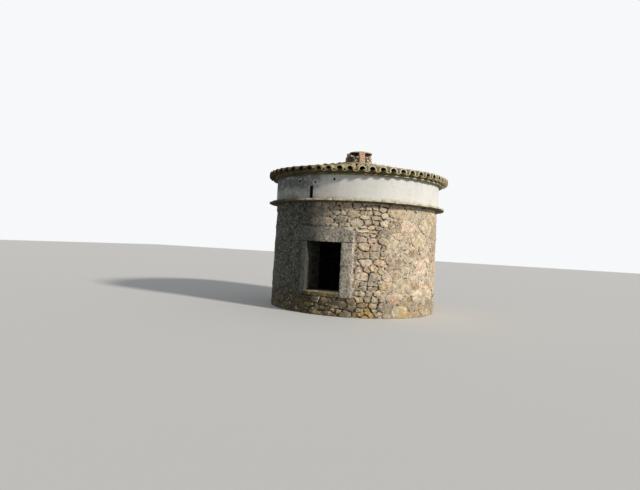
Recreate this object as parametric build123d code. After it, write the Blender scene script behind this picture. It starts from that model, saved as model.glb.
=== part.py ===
from build123d import *
from math import asin, cos, degrees, radians, sin, tan
import os

# Round stone dovecote, millimetres. Z is up, the doorway faces -Y and the
# tower's axis is the Z axis. Azimuths run from -Y towards +X, in degrees.

# Lower wall
WALL_HEAD_R = 2058.0
WALL_BATTER = 40.0
WALL_THICK = 788.0
WALL_HEAD_Z = 2570.0
SEGMENTS = 6

# Doorway
FRAME_PROUD = 42.0
FRAME_DEPTH = 400.0
SILL_PROUD = 25.0
DOOR_WIDE = 846.0
DOOR_LOW_Z = 532.0
DOOR_HIGH = 1127.0
SILL_THICK = 105.0
JAMB_LEFT_WIDE = 150.0
JAMB_RIGHT_WIDE = 277.0
LINTEL_HIGH = 348.0
LINTEL_RIGHT_BEARING = 283.0
LINTEL_LEFT_BEARING = 227.0
LINTEL_RIGHT_CUT = (210.0, 117.0)
LINTEL_LEFT_LEAN = 85.0
REVEAL_STEP = 47.0
INNER_LINTEL_STEP = 41.0
INNER_SILL_STEP = 27.0
CHEEK = 60.0

# String course between the rubble and the plastered band
LEDGE_THICK = 60.0
LEDGE_TAIL = 223.0
LEDGE_OUT = 185.0
LEDGE_SLABS = 24
LEDGE_WAVER = 9.0
LEDGE_DROP = 6.0
LEDGE_LIFT = (7.0, 5.0)
LEDGE_NOSE = 12.0
LEDGE_ARRIS = 6.0
LEDGE_FLAT = 4.0
LEDGE_TURN = -4.0

# Plastered band
BAND_PROUD = 42.0
BAND_HIGH = 540.0
BAND_SEGMENTS = 8
SLOT_X = -383.0
SLOT_WIDE = 90.0
SLOT_HIGH = 295.0
# Small round holes: azimuth, height over the string course, radius
SMALL_HOLES = [(4.9, 440.0, 30.0), (-20.2, 412.0, 30.0), (-7.9, 374.0, 26.0)]
SMALL_HOLE_DEEP = 120.0

# Slabs under the eave
CORNICE_THICK = 45.0
CORNICE_TAIL = 200.0
CORNICE_OUT = 95.0
CORNICE_SLABS = 28
CORNICE_WAVER = 10.0
CORNICE_RISE = 4.0
CORNICE_ARRIS = 8.0
CORNICE_TURN = 2.0

# Roof
SLOPE = tan(radians(12.5))
EAVE_OUT = 225.0
BED_THICK = 60.0
BED_INSET = 25.0
DECK_THICK = 25.0
RAFTERS = 12
RAFTER_WIDE = 80.0
RAFTER_DEEP = 123.0
FILLING_THICK = 120.0
PLATE_INSET = 60.0
PLATE_WIDE = 120.0
COLLAR_SHELF = 70.0
COLLAR_DROP = 24.0

# Tiles
SECTORS = 6
TILE_THICK = 16.0
COVER_RISE = 53.0
SKIRT_SINK = 10.0
CHANNEL_R = 92.0
CHANNEL_SWING = 60.0
CHANNEL_RUN = 225.0
MOUTH_DEEP = 190.0
LAP = 30.0
# Rings of cover tiles from the eave up: count, upper end, radius low and high
TILE_RINGS = [
    (60, 1480.0, 92.0, 62.0),
    (42, 1040.0, 84.0, 62.0),
    (30, 740.0, 84.0, 62.0),
    (24, 500.0, 78.0, 54.0),
    (18, 318.0, 72.0, 46.0),
]

# Lantern
KERB_R = 330.0
KERB_WALL = 110.0
KERB_STAND = 258.0
PIER_WIDE = 160.0
PIER_DEEP = 95.0
PIER_HIGH = 100.0
PIER_AZ = 35.0
CAP_R = 310.0
CAP_SHIFT = 45.0
CAP_SHIFT_AZ = 110.0
CAP_THICK = 35.0
CAP_DOME = 28.0
CAP_BEVEL = 8.0

# Levels and distances that follow from the sizes above
WALL_FOOT_R = WALL_HEAD_R + WALL_BATTER
WALL_IN_R = WALL_HEAD_R - WALL_THICK
BAND_R = WALL_HEAD_R + BAND_PROUD
FRAME_Y = WALL_HEAD_R + FRAME_PROUD
DOOR_HALF = DOOR_WIDE / 2
JAMB_FOOT_Z = DOOR_LOW_Z - SILL_THICK
LINTEL_Z = DOOR_LOW_Z + DOOR_HIGH
LINTEL_TOP_Z = LINTEL_Z + LINTEL_HIGH
LINTEL_RIGHT_X = DOOR_HALF + LINTEL_RIGHT_BEARING
LINTEL_LEFT_X = -DOOR_HALF - LINTEL_LEFT_BEARING
LEDGE_TOP_Z = WALL_HEAD_Z + LEDGE_THICK
LEDGE_TAIL_R = WALL_HEAD_R - LEDGE_TAIL
LEDGE_R = BAND_R + LEDGE_OUT
BAND_TOP_Z = LEDGE_TOP_Z + BAND_HIGH
SLOT_TOP_Z = LEDGE_TOP_Z + SLOT_HIGH
CORNICE_TAIL_R = BAND_R - CORNICE_TAIL
CORNICE_R = BAND_R + CORNICE_OUT
CORNICE_TOP_Z = BAND_TOP_Z + CORNICE_THICK
EAVE_R = BAND_R + EAVE_OUT
BED_R = CORNICE_R - BED_INSET
BED_LIFT = BED_THICK / 2
PLATE_IN = WALL_IN_R + PLATE_INSET
PLATE_OUT = PLATE_IN + PLATE_WIDE
EYE_R = KERB_R - KERB_WALL
COLLAR_OUT = KERB_R + COLLAR_SHELF
FAR = 2 * EAVE_R
SKY = 2 * CORNICE_TOP_Z


def lay(r):
    """Height of the undersides of the channel tiles at a distance from the axis."""
    return CORNICE_TOP_Z + (EAVE_R - r) * SLOPE


def turn(shape, azimuth):
    """Turns a shape built towards azimuth 0 to another azimuth."""
    return Rot(0, 0, azimuth) * shape


def ring(profile, start, end):
    """Turns an (r, z) outline about the axis from one azimuth to another."""
    corners = [Vector(r, 0, z) for r, z in profile]
    face = make_face(Polyline(*corners, close=True))
    return Rot(0, 0, start - 90) * revolve(face, Axis.Z, revolution_arc=end - start)


def block(x0, x1, y0, y1, z0, z1):
    """A box given by its two limits on each axis."""
    return Pos((x0 + x1) / 2, (y0 + y1) / 2, (z0 + z1) / 2) * Box(x1 - x0, y1 - y0, z1 - z0)


def face_outline(outline, y0, y1):
    """A slab with the given (x, z) outline between two depths."""
    corners = [Vector(x, y0, z) for x, z in outline]
    face = make_face(Polyline(*corners, close=True))
    return extrude(face, amount=y1 - y0, dir=(0, 1, 0))


def side_outline(outline, half):
    """A bar towards azimuth 0 with the given (distance, z) outline."""
    corners = [Vector(-half, -d, z) for d, z in outline]
    face = make_face(Polyline(*corners, close=True))
    return extrude(face, amount=2 * half, dir=(1, 0, 0))


def wedge(start, end):
    """An upright wedge from the axis between two azimuths."""
    return ring([(0, 0), (FAR, 0), (FAR, SKY), (0, SKY)], start, end)


def drum(radius):
    """A full upright cylinder about the axis."""
    return ring([(0, 0), (radius, 0), (radius, SKY), (0, SKY)], 0, 360)


def left_of(shape):
    """The solid of a cut shape whose middle lies at negative x."""
    return min(shape.solids(), key=lambda s: s.center().X)


def right_of(shape):
    """The solid of a cut shape whose middle lies at positive x."""
    return max(shape.solids(), key=lambda s: s.center().X)


os.makedirs("parts", exist_ok=True)
written = []


def keep(name, shape):
    """Writes one named piece, or several that do not touch, as a STEP file."""
    solids = shape.solids() if not isinstance(shape, list) else [s for p in shape for s in p.solids()]
    body = solids[0] if len(solids) == 1 else Compound(children=solids)
    body.label = name
    export_step(body, f"parts/{name}.step")
    written.append(name)


# Doorway stones
front = -FRAME_Y
back = -(FRAME_Y - FRAME_DEPTH)
reveal_half = DOOR_HALF + REVEAL_STEP
jamb_left_x = -DOOR_HALF - JAMB_LEFT_WIDE
jamb_right_x = DOOR_HALF + JAMB_RIGHT_WIDE
inner_lintel_z = LINTEL_Z + INNER_LINTEL_STEP
inner_sill_z = DOOR_LOW_Z - INNER_SILL_STEP
sill = block(-DOOR_HALF, DOOR_HALF, front - SILL_PROUD, back, JAMB_FOOT_Z, DOOR_LOW_Z)
jamb_left = block(jamb_left_x, -DOOR_HALF, front, back, JAMB_FOOT_Z, LINTEL_Z)
jamb_right = block(DOOR_HALF, jamb_right_x, front, back, JAMB_FOOT_Z, LINTEL_Z)
lintel = face_outline(
    [
        (LINTEL_LEFT_X, LINTEL_Z),
        (LINTEL_RIGHT_X, LINTEL_Z),
        (LINTEL_RIGHT_X, LINTEL_TOP_Z - LINTEL_RIGHT_CUT[1]),
        (LINTEL_RIGHT_X - LINTEL_RIGHT_CUT[0], LINTEL_TOP_Z),
        (LINTEL_LEFT_X + LINTEL_LEFT_LEAN, LINTEL_TOP_Z),
    ],
    front,
    back,
)
core = drum(WALL_IN_R)
inner_lintel = block(LINTEL_LEFT_X, LINTEL_RIGHT_X, back, 0, inner_lintel_z, LINTEL_TOP_Z) - core

# Lower wall: the doorway's own segment in four pieces, then the plain ones
widest = max(LINTEL_RIGHT_X, -LINTEL_LEFT_X)
half = degrees(asin((widest + CHEEK) / WALL_IN_R))


def wall_r(z):
    """Outer radius of the battered rubble wall at a height."""
    return WALL_FOOT_R + (WALL_HEAD_R - WALL_FOOT_R) * z / WALL_HEAD_Z


def wall_piece(z0, z1, start, end):
    """A plain piece of the lower wall between two heights."""
    profile = [(WALL_IN_R, z0), (wall_r(z0), z0), (wall_r(z1), z1)]
    if z1 == WALL_HEAD_Z:
        profile += [(LEDGE_TAIL_R, z1), (LEDGE_TAIL_R, LEDGE_TOP_Z), (WALL_IN_R, LEDGE_TOP_Z)]
    else:
        profile += [(WALL_IN_R, z1)]
    return ring(profile, start, end)


middle = wall_piece(JAMB_FOOT_Z, LINTEL_TOP_Z, -half, half)
passage = block(-reveal_half, reveal_half, back, 0, JAMB_FOOT_Z, inner_lintel_z)
clear_front = block(jamb_left_x, jamb_right_x, -FAR, front, JAMB_FOOT_Z, LINTEL_TOP_Z)
doorway = block(-DOOR_HALF, DOOR_HALF, front, back, JAMB_FOOT_Z, LINTEL_Z)
beside = middle - passage - clear_front - doorway - jamb_left - jamb_right - lintel - inner_lintel
foot = wall_piece(0, JAMB_FOOT_Z, -half, half)
step = block(-reveal_half, reveal_half, back, 0, JAMB_FOOT_Z, inner_sill_z) - core
keep("wall_below_door", foot + step)
keep("wall_beside_door_left", left_of(beside))
keep("wall_beside_door_right", right_of(beside))
keep("wall_above_door", wall_piece(LINTEL_TOP_Z, WALL_HEAD_Z, -half, half))
keep("sill_stone", sill)
keep("jamb_left", jamb_left)
keep("jamb_right", jamb_right)
keep("lintel", lintel)
keep("inner_lintel", inner_lintel)
for n in range(SEGMENTS):
    span = (360 - 2 * half) / SEGMENTS
    keep(f"wall_segment_{n + 1}", wall_piece(0, WALL_HEAD_Z, half + span * n, half + span * (n + 1)))

# String course of uneven slabs, alternate slabs in two nodes
courses = {0: [], 1: []}
for n in range(LEDGE_SLABS):
    span = 360 / LEDGE_SLABS
    nose = LEDGE_R - LEDGE_WAVER + LEDGE_WAVER * sin(2.4 * n + 1.0)
    drop = LEDGE_DROP + LEDGE_DROP * sin(3.7 * n)
    lift = LEDGE_LIFT[0] + LEDGE_LIFT[1] * sin(1.9 * n + 2.0)
    profile = [
        (LEDGE_TAIL_R, WALL_HEAD_Z),
        (BAND_R - LEDGE_NOSE, WALL_HEAD_Z),
        (nose - LEDGE_NOSE, WALL_HEAD_Z + lift),
        (nose, WALL_HEAD_Z + lift + LEDGE_NOSE),
        (nose, LEDGE_TOP_Z - drop - LEDGE_ARRIS),
        (nose - LEDGE_ARRIS, LEDGE_TOP_Z - drop),
        (BAND_R + LEDGE_FLAT, LEDGE_TOP_Z),
        (LEDGE_TAIL_R, LEDGE_TOP_Z),
    ]
    start = span * n + LEDGE_TURN
    courses[n % 2].append(ring(profile, start, start + span))
keep("ledge_slabs_even", courses[0])
keep("ledge_slabs_odd", courses[1])

# Plastered band with the flight slot and the small round holes
slot = block(SLOT_X - SLOT_WIDE / 2, SLOT_X + SLOT_WIDE / 2, -FAR, 0, 0, SLOT_TOP_Z)
half = 180 / BAND_SEGMENTS


def band_piece(z0, z1, start, end):
    """A plain piece of the plastered band."""
    return ring([(WALL_IN_R, z0), (BAND_R, z0), (BAND_R, z1), (WALL_IN_R, z1)], start, end)


low_band = band_piece(LEDGE_TOP_Z, SLOT_TOP_Z, -half, half)
beside_slot = low_band - slot
high_band = band_piece(SLOT_TOP_Z, BAND_TOP_Z, -half, half)
for azimuth, lift, radius in SMALL_HOLES:
    hole = Pos(0, -BAND_R, LEDGE_TOP_Z + lift) * Rot(90, 0, 0) * Cylinder(radius, 2 * SMALL_HOLE_DEEP)
    high_band -= turn(hole, azimuth)
keep("band_beside_slot", beside_slot)
keep("band_over_slot", high_band)
for n in range(1, BAND_SEGMENTS):
    start = half + 2 * half * (n - 1)
    keep(f"band_segment_{n}", band_piece(LEDGE_TOP_Z, BAND_TOP_Z, start, start + 2 * half))

# Slabs under the eave, alternate slabs in two nodes
courses = {0: [], 1: []}
for n in range(CORNICE_SLABS):
    span = 360 / CORNICE_SLABS
    nose = CORNICE_R - CORNICE_WAVER + CORNICE_WAVER * sin(2.9 * n + 0.4)
    rise = CORNICE_RISE + CORNICE_RISE * sin(2.2 * n)
    profile = [
        (CORNICE_TAIL_R, BAND_TOP_Z),
        (BAND_R, BAND_TOP_Z),
        (nose - CORNICE_ARRIS, BAND_TOP_Z + rise),
        (nose, BAND_TOP_Z + rise + CORNICE_ARRIS),
        (nose, CORNICE_TOP_Z - CORNICE_ARRIS),
        (nose - CORNICE_ARRIS, CORNICE_TOP_Z),
        (CORNICE_TAIL_R, CORNICE_TOP_Z),
    ]
    start = span * n + CORNICE_TURN
    courses[n % 2].append(ring(profile, start, start + span))
keep("cornice_slabs_even", courses[0])
keep("cornice_slabs_odd", courses[1])

# Roof timbers
deck_low = -BED_LIFT - DECK_THICK
rafter_low = deck_low - RAFTER_DEEP
roof_line = [(0, lay(0) + deck_low), (FAR, lay(FAR) + deck_low), (FAR, SKY), (0, SKY)]
above_rafters = ring(roof_line, 180, 540)
seat = EAVE_R - (BAND_TOP_Z - CORNICE_TOP_Z - rafter_low) / SLOPE
foot_d = CORNICE_TAIL_R * cos(asin(RAFTER_WIDE / 2 / CORNICE_TAIL_R))
rafter = side_outline(
    [
        (COLLAR_OUT, lay(COLLAR_OUT) + rafter_low),
        (COLLAR_OUT, lay(COLLAR_OUT)),
        (foot_d, lay(foot_d)),
        (foot_d, BAND_TOP_Z),
        (seat, BAND_TOP_Z),
    ],
    RAFTER_WIDE / 2,
) - above_rafters
keep("rafters", [turn(rafter, 360 / RAFTERS * n) for n in range(RAFTERS)])

mitre = 180 / RAFTERS
plate = side_outline(
    [
        (PLATE_IN, BAND_TOP_Z),
        (PLATE_OUT, BAND_TOP_Z),
        (PLATE_OUT, lay(PLATE_OUT) + rafter_low),
        (PLATE_IN, lay(PLATE_IN) + rafter_low),
    ],
    PLATE_OUT / 2,
) & wedge(-mitre, mitre)
plates = [turn(plate, 360 / RAFTERS * n) for n in range(RAFTERS)]
keep("wall_plate_even", plates[0::2])
keep("wall_plate_odd", plates[1::2])

kerb_low = lay(KERB_R) + deck_low
collar_low = lay(COLLAR_OUT) + rafter_low - COLLAR_DROP
with BuildPart() as collar_maker:
    with BuildSketch(Plane.XY.offset(collar_low)):
        RegularPolygon(COLLAR_OUT, RAFTERS, major_radius=False, rotation=mitre)
        Circle(EYE_R, mode=Mode.SUBTRACT)
    extrude(amount=kerb_low - collar_low)
keep("collar_ring", collar_maker.part - (above_rafters - drum(KERB_R)))

fill_in = CORNICE_TAIL_R - FILLING_THICK
infill = ring(
    [
        (fill_in, BAND_TOP_Z),
        (CORNICE_TAIL_R, BAND_TOP_Z),
        (CORNICE_TAIL_R, lay(CORNICE_TAIL_R) + deck_low),
        (fill_in, lay(fill_in) + deck_low),
    ],
    -mitre,
    mitre,
)
lane = block(-RAFTER_WIDE / 2, RAFTER_WIDE / 2, -FAR, 0, 0, SKY)
infill = infill - turn(lane, -mitre) - turn(lane, mitre)
keep("eave_filling", [turn(infill, mitre + 360 / RAFTERS * n) for n in range(RAFTERS)])

decks = {0: [], 1: []}
for n in range(RAFTERS):
    profile = [
        (KERB_R, lay(KERB_R) + deck_low),
        (CORNICE_TAIL_R, lay(CORNICE_TAIL_R) + deck_low),
        (CORNICE_TAIL_R, lay(CORNICE_TAIL_R) - BED_LIFT),
        (KERB_R, lay(KERB_R) - BED_LIFT),
    ]
    decks[n % 2].append(ring(profile, 360 / RAFTERS * n, 360 / RAFTERS * (n + 1)))
keep("roof_boards_even", decks[0])
keep("roof_boards_odd", decks[1])

# Tiles: one sixth of the roof, bedded, with open mouths at the eave


def cover_section(d, radius, low, rise):
    """Upright section of a cover tile at a distance from the axis."""
    base = lay(d)
    left = Vector(-radius, -d, base + low)
    left_spring = Vector(-radius, -d, base + rise)
    crown = Vector(0, -d, base + rise + radius)
    right_spring = Vector(radius, -d, base + rise)
    right = Vector(radius, -d, base + low)
    lines = [
        Line(left, left_spring),
        ThreePointArc(left_spring, crown, right_spring),
        Line(right_spring, right),
        Line(right, left),
    ]
    return make_face(lines)


def cover(d0, d1, r0, r1, low, rise):
    """A tapering cover tile run from distance d0 at the eave side to d1."""
    return loft([cover_section(d0, r0, low, rise), cover_section(d1, r1, low, rise)], ruled=True)


def channel_section(d):
    """Upright section of a channel tile, hollow side up."""
    base = lay(d) + CHANNEL_R
    outer = CHANNEL_R
    inner = CHANNEL_R - TILE_THICK
    swing = radians(CHANNEL_SWING)
    ends = [(-outer * sin(swing), -outer * cos(swing)), (outer * sin(swing), -outer * cos(swing))]
    lips = [(-inner * sin(swing), -inner * cos(swing)), (inner * sin(swing), -inner * cos(swing))]
    p = [Vector(x, -d, base + z) for x, z in ends]
    q = [Vector(x, -d, base + z) for x, z in lips]
    lines = [
        ThreePointArc(p[0], Vector(0, -d, base - outer), p[1]),
        Line(p[1], q[1]),
        ThreePointArc(q[1], Vector(0, -d, base - inner), q[0]),
        Line(q[0], p[0]),
    ]
    return make_face(lines)


bed = ring(
    [
        (KERB_R, lay(KERB_R) - BED_LIFT),
        (CORNICE_TAIL_R, lay(CORNICE_TAIL_R) - BED_LIFT),
        (CORNICE_TAIL_R, CORNICE_TOP_Z),
        (BED_R, CORNICE_TOP_Z),
        (BED_R, lay(BED_R) + BED_LIFT),
        (KERB_R, lay(KERB_R) + BED_LIFT),
    ],
    0,
    360 / SECTORS,
)
pieces = []
outer_d = EAVE_R
for count, inner_d, outer_r, inner_r in TILE_RINGS:
    pitch = 360 / count
    run = cover(outer_d, inner_d, outer_r, inner_r, BED_LIFT - SKIRT_SINK, COVER_RISE)
    if outer_d == EAVE_R:
        taper = (outer_r - inner_r) / (outer_d - inner_d)
        deep_r = outer_r - TILE_THICK - taper * MOUTH_DEEP
        mouth = cover(EAVE_R, EAVE_R - MOUTH_DEEP, outer_r - TILE_THICK, deep_r, -CHANNEL_R, COVER_RISE)
        run = run - mouth
    for n in range(count // SECTORS):
        pieces.append(turn(run, pitch / 2 + pitch * n))
    outer_d = inner_d + LAP
trough = loft([channel_section(EAVE_R), channel_section(EAVE_R - CHANNEL_RUN)], ruled=True)
pitch = 360 / TILE_RINGS[0][0]
for n in range(TILE_RINGS[0][0] // SECTORS + 1):
    pieces.append(turn(trough, pitch * n) & wedge(0, 360 / SECTORS))
sector = bed.fuse(*pieces) - drum(KERB_R)
for n in range(SECTORS):
    keep(f"tile_sector_{n + 1}", turn(sector, 360 / SECTORS * n))

# Lantern
kerb_top = lay(KERB_R) + KERB_STAND
cap_low = kerb_top + PIER_HIGH
kerb = ring([(EYE_R, kerb_low), (KERB_R, kerb_low), (KERB_R, kerb_top), (EYE_R, kerb_top)], 0, 360)
keep("lantern_kerb", kerb)
pier_in = (EYE_R + KERB_R - PIER_DEEP) / 2
pier = block(-PIER_WIDE / 2, PIER_WIDE / 2, -pier_in - PIER_DEEP, -pier_in, kerb_top, cap_low)
pier = pier & drum(KERB_R)
keep("lantern_piers", [turn(pier, PIER_AZ + 90 * n) for n in range(4)])
dome_r = (CAP_R**2 + CAP_DOME**2) / (2 * CAP_DOME)
cap_top = cap_low + CAP_THICK + CAP_DOME
cap = Pos(0, 0, (cap_low + cap_top) / 2) * Cylinder(CAP_R, cap_top - cap_low)
cap = cap & (Pos(0, 0, cap_top - dome_r) * Sphere(dome_r))
cap = chamfer(cap.edges().sort_by(Axis.Z)[0], CAP_BEVEL)
keep("cap_slab", turn(Pos(0, -CAP_SHIFT, 0) * cap, CAP_SHIFT_AZ))

print(len(written), "nodes, height", round(cap_top, 1))
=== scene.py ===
import bmesh
import bpy
import random
from bpy.props import FloatProperty, FloatVectorProperty, IntProperty, PointerProperty
from math import asin, ceil, cos, hypot, pi, radians, sin, tan
from mathutils import Matrix, Vector, noise


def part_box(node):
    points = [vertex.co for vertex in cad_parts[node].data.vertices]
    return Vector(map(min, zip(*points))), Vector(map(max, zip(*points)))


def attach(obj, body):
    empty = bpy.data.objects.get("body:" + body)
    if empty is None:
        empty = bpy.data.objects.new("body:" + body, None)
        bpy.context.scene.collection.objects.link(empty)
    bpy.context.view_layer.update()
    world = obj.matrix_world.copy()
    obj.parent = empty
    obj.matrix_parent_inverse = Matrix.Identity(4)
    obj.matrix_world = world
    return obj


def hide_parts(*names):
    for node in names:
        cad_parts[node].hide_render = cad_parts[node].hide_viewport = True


bl_info = {
    "name": "Stone Dovecote",
    "version": (1, 0, 0),
    "blender": (4, 5, 0),
    "location": "3D View > Sidebar > Dovecote",
    "description": "Dresses a round rubble dovecote: stones, slabs, plaster, tiles and lantern",
    "category": "Object",
}

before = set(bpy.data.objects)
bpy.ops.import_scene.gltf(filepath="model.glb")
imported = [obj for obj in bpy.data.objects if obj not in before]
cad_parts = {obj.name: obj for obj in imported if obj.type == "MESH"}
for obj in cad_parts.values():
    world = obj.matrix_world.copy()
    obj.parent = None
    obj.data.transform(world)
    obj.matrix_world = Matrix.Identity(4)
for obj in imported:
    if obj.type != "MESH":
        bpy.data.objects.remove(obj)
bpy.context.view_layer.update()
# Vector noise starts from the clock unless it is given a seed
noise.seed_set(1)

# Lengths are in metres, heights above the ground, radii from the tower's axis.
# Azimuths run from -Y towards +X.
WALL_FOOT_R = 2.098
WALL_HEAD_R = 2.058
BAND_R = 2.100
LEDGE_R = 2.285
CORNICE_R = 2.195
SLAB_INNER_R = 1.93
EAVE_R = 2.325
BED_R = 2.170
KERB_R = 0.330
PIER_INNER_R = 0.229
PIER_OUTER_R = 0.323
ROOF_SLOPE = tan(radians(12.5))
COVER_RISE = 0.053
CHANNEL_R = 0.092
WALL_HEAD_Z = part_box("ledge_slabs_even")[0].z
LEDGE_TOP_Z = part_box("ledge_slabs_even")[1].z
CORNICE_LOW_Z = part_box("cornice_slabs_even")[0].z
CORNICE_TOP_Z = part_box("cornice_slabs_even")[1].z
KERB_TOP_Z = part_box("lantern_kerb")[1].z
CAP_LOW_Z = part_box("cap_slab")[0].z
CAP_TOP_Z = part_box("cap_slab")[1].z
CAP_R = (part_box("cap_slab")[1].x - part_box("cap_slab")[0].x) / 2
CAP_MIDDLE = (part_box("cap_slab")[0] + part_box("cap_slab")[1]) / 2
PIER_AZ = radians(35.0)
PIERS = 4
# The camera looks at the tower from right of its doorway
CAMERA_AZ = radians(19.35)
CAMERA_YAW = 0.0698
CAMERA_PITCH = -0.0015
CAMERA_ROLL = 0.052
SENSOR_WIDTH = 36.0
# Width and height cut off the lintel's upper right corner, and the lean of its left end
LINTEL_CUT = Vector((0.210, 0.117))
LINTEL_LEAN = 0.085
# Small round holes in the band with pale plaster rims: azimuth, height over the string course
RIMMED_HOLES = [(radians(-20.2), 0.412), (radians(-7.9), 0.374)]
# No large stones are laid near the doorway, and flat ones are stacked right of it
DOOR_STRETCH = (radians(-82.0), radians(36.0))
FLAT_STRETCH_END = radians(34.0)
# Where the joints are washed out deepest, beside the doorway and below it
RAKED = (radians(20.5), radians(40.0))
RAKED_BELOW = (radians(-10.0), 0.50)

# Rings of cover tiles from the eave up: count, upper end, radius low and high, courses
TILE_RINGS = [
    (60, 1.480, 0.092, 0.062, 3),
    (42, 1.040, 0.084, 0.062, 2),
    (30, 0.740, 0.084, 0.062, 1),
    (24, 0.500, 0.078, 0.054, 1),
    (18, 0.318, 0.072, 0.046, 1),
]
SECTORS = 6


def wall_r(z):
    """Outer radius of the battered rubble wall at a height."""
    return WALL_FOOT_R + (WALL_HEAD_R - WALL_FOOT_R) * z / WALL_HEAD_Z


def lay(r):
    """Height of the undersides of the channel tiles at a distance from the axis."""
    return CORNICE_TOP_Z + (EAVE_R - r) * ROOF_SLOPE


def around(azimuth, radius, z):
    """The point at an azimuth, a distance from the axis and a height."""
    return Vector((radius * sin(azimuth), -radius * cos(azimuth), z))


# Settings that a user would change


class RubbleSettings(bpy.types.PropertyGroup):
    big: FloatProperty(
        name="Large stone", description="Half width of the largest stones",
        default=0.235, unit="LENGTH")
    medium: FloatProperty(
        name="Middle stone", description="Half width of the common stones",
        default=0.135, unit="LENGTH")
    small: FloatProperty(
        name="Small stone", description="Half width of the small stones",
        default=0.085, unit="LENGTH")
    pin: FloatProperty(
        name="Pinning stone", description="Half width of the chips in the joints",
        default=0.048, unit="LENGTH")
    flatness: FloatProperty(
        name="Flatness", description="Width of a stone over its height", default=1.55)
    joint: FloatProperty(
        name="Joint", description="Width of the mortar joints", default=0.018, unit="LENGTH")
    proud: FloatProperty(
        name="Relief", description="How far stones stand out of the mortar",
        default=0.034, unit="LENGTH")
    seed: IntProperty(
        name="Seed", description="Chooses another layout of stones", default=7)
    stone_pale: FloatVectorProperty(
        name="Pale stone", description="Cream granite", subtype="COLOR",
        default=(0.90, 0.75, 0.54), min=0, max=1)
    stone_ochre: FloatVectorProperty(
        name="Ochre stone", description="Weathered ochre granite", subtype="COLOR",
        default=(0.84, 0.61, 0.35), min=0, max=1)
    stone_pink: FloatVectorProperty(
        name="Pink stone", description="Pinkish granite", subtype="COLOR",
        default=(0.86, 0.61, 0.46), min=0, max=1)
    stone_grey: FloatVectorProperty(
        name="Grey stone", description="Grey granite", subtype="COLOR",
        default=(0.52, 0.46, 0.37), min=0, max=1)
    mortar: FloatVectorProperty(
        name="Mortar", description="Lime mortar", subtype="COLOR",
        default=(0.91, 0.79, 0.62), min=0, max=1)
    # Colour of the painted shade over the tower's left side, with some damp weathering
    shade: FloatVectorProperty(
        name="Painted shade side", description="Painted shade of the left side, with some damp weathering", subtype="COLOR",
        default=(0.034, 0.046, 0.043), min=0, max=1)


class SlabSettings(bpy.types.PropertyGroup):
    length: FloatProperty(
        name="Slab length", description="Middle length of a slab along the wall",
        default=0.52, unit="LENGTH")
    waver: FloatProperty(
        name="Waver", description="How far the broken front edges wander",
        default=0.022, unit="LENGTH")
    seed: IntProperty(
        name="Seed", description="Chooses other slabs", default=3)
    stone: FloatVectorProperty(
        name="Slab stone", description="Split slab stone", subtype="COLOR",
        default=(0.42, 0.36, 0.23), min=0, max=1)
    edge: FloatVectorProperty(
        name="Broken edge", description="Pale broken edge of a slab", subtype="COLOR",
        default=(0.82, 0.72, 0.54), min=0, max=1)


class PlasterSettings(bpy.types.PropertyGroup):
    lime: FloatVectorProperty(
        name="Limewash", description="Clean limewashed plaster", subtype="COLOR",
        default=(0.88, 0.87, 0.83), min=0, max=1)
    grime: FloatVectorProperty(
        name="Grime", description="Dark weathering on the plaster", subtype="COLOR",
        default=(0.20, 0.21, 0.19), min=0, max=1)


class TileSettings(bpy.types.PropertyGroup):
    thick: FloatProperty(
        name="Tile thickness", description="Thickness of the clay",
        default=0.019, unit="LENGTH")
    lap: FloatProperty(
        name="Lap", description="How far a tile covers the one below",
        default=0.060, unit="LENGTH")
    seed: IntProperty(
        name="Seed", description="Chooses other small shifts of the tiles", default=11)
    clay: FloatVectorProperty(
        name="Clay", description="Old clay tile", subtype="COLOR",
        default=(0.40, 0.22, 0.12), min=0, max=1)
    rim: FloatVectorProperty(
        name="Pale rim", description="Lime dusted rim of a tile", subtype="COLOR",
        default=(0.80, 0.73, 0.55), min=0, max=1)


class StageSettings(bpy.types.PropertyGroup):
    key: FloatProperty(
        name="Key light", description="Strength of the soft key light", default=2.65)
    sky: FloatProperty(
        name="Sky light", description="Strength of the even light all round", default=0.28)
    key_azimuth: FloatProperty(
        name="Key direction", description="Right of the camera's axis, seen from the tower",
        default=radians(60), subtype="ANGLE")
    key_height: FloatProperty(
        name="Key height", description="Height of the key light over the horizon",
        default=radians(26), subtype="ANGLE")
    distance: FloatProperty(
        name="Camera distance", description="From the tower's axis",
        default=13.0135, unit="LENGTH")
    eye: FloatProperty(
        name="Camera height", description="Above the ground", default=1.5926, unit="LENGTH")
    lens: FloatProperty(
        name="Lens", description="Focal length for a 36 mm wide sensor", default=27.59)


class DovecoteSettings(bpy.types.PropertyGroup):
    rubble: PointerProperty(type=RubbleSettings)
    slabs: PointerProperty(type=SlabSettings)
    plaster: PointerProperty(type=PlasterSettings)
    tiles: PointerProperty(type=TileSettings)
    stage: PointerProperty(type=StageSettings)


# Mesh helpers


def gather(layer):
    """A new form with the colour layer that its material reads."""
    bm = bmesh.new()
    bm.verts.layers.float_color.new(layer)
    return bm


def stamp(total, small):
    """Adds one small form to a piece that is being gathered."""
    scratch = bpy.data.meshes.new("scratch")
    small.to_mesh(scratch)
    total.from_mesh(scratch)
    small.free()
    bpy.data.meshes.remove(scratch)


def piece(name, bm, material, replaces=(), sharp=38.0):
    """Makes one finished piece of the dovecote."""
    bmesh.ops.recalc_face_normals(bm, faces=bm.faces)
    for f in bm.faces:
        f.smooth = True
    mesh = bpy.data.meshes.new(name)
    bm.to_mesh(mesh)
    bm.free()
    mesh.set_sharp_from_angle(angle=radians(sharp))
    mesh.materials.append(material)
    thing = bpy.data.objects.new(name, mesh)
    bpy.context.scene.collection.objects.link(thing)
    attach(thing, "root")
    if replaces:
        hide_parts(*replaces)
    return thing


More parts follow.
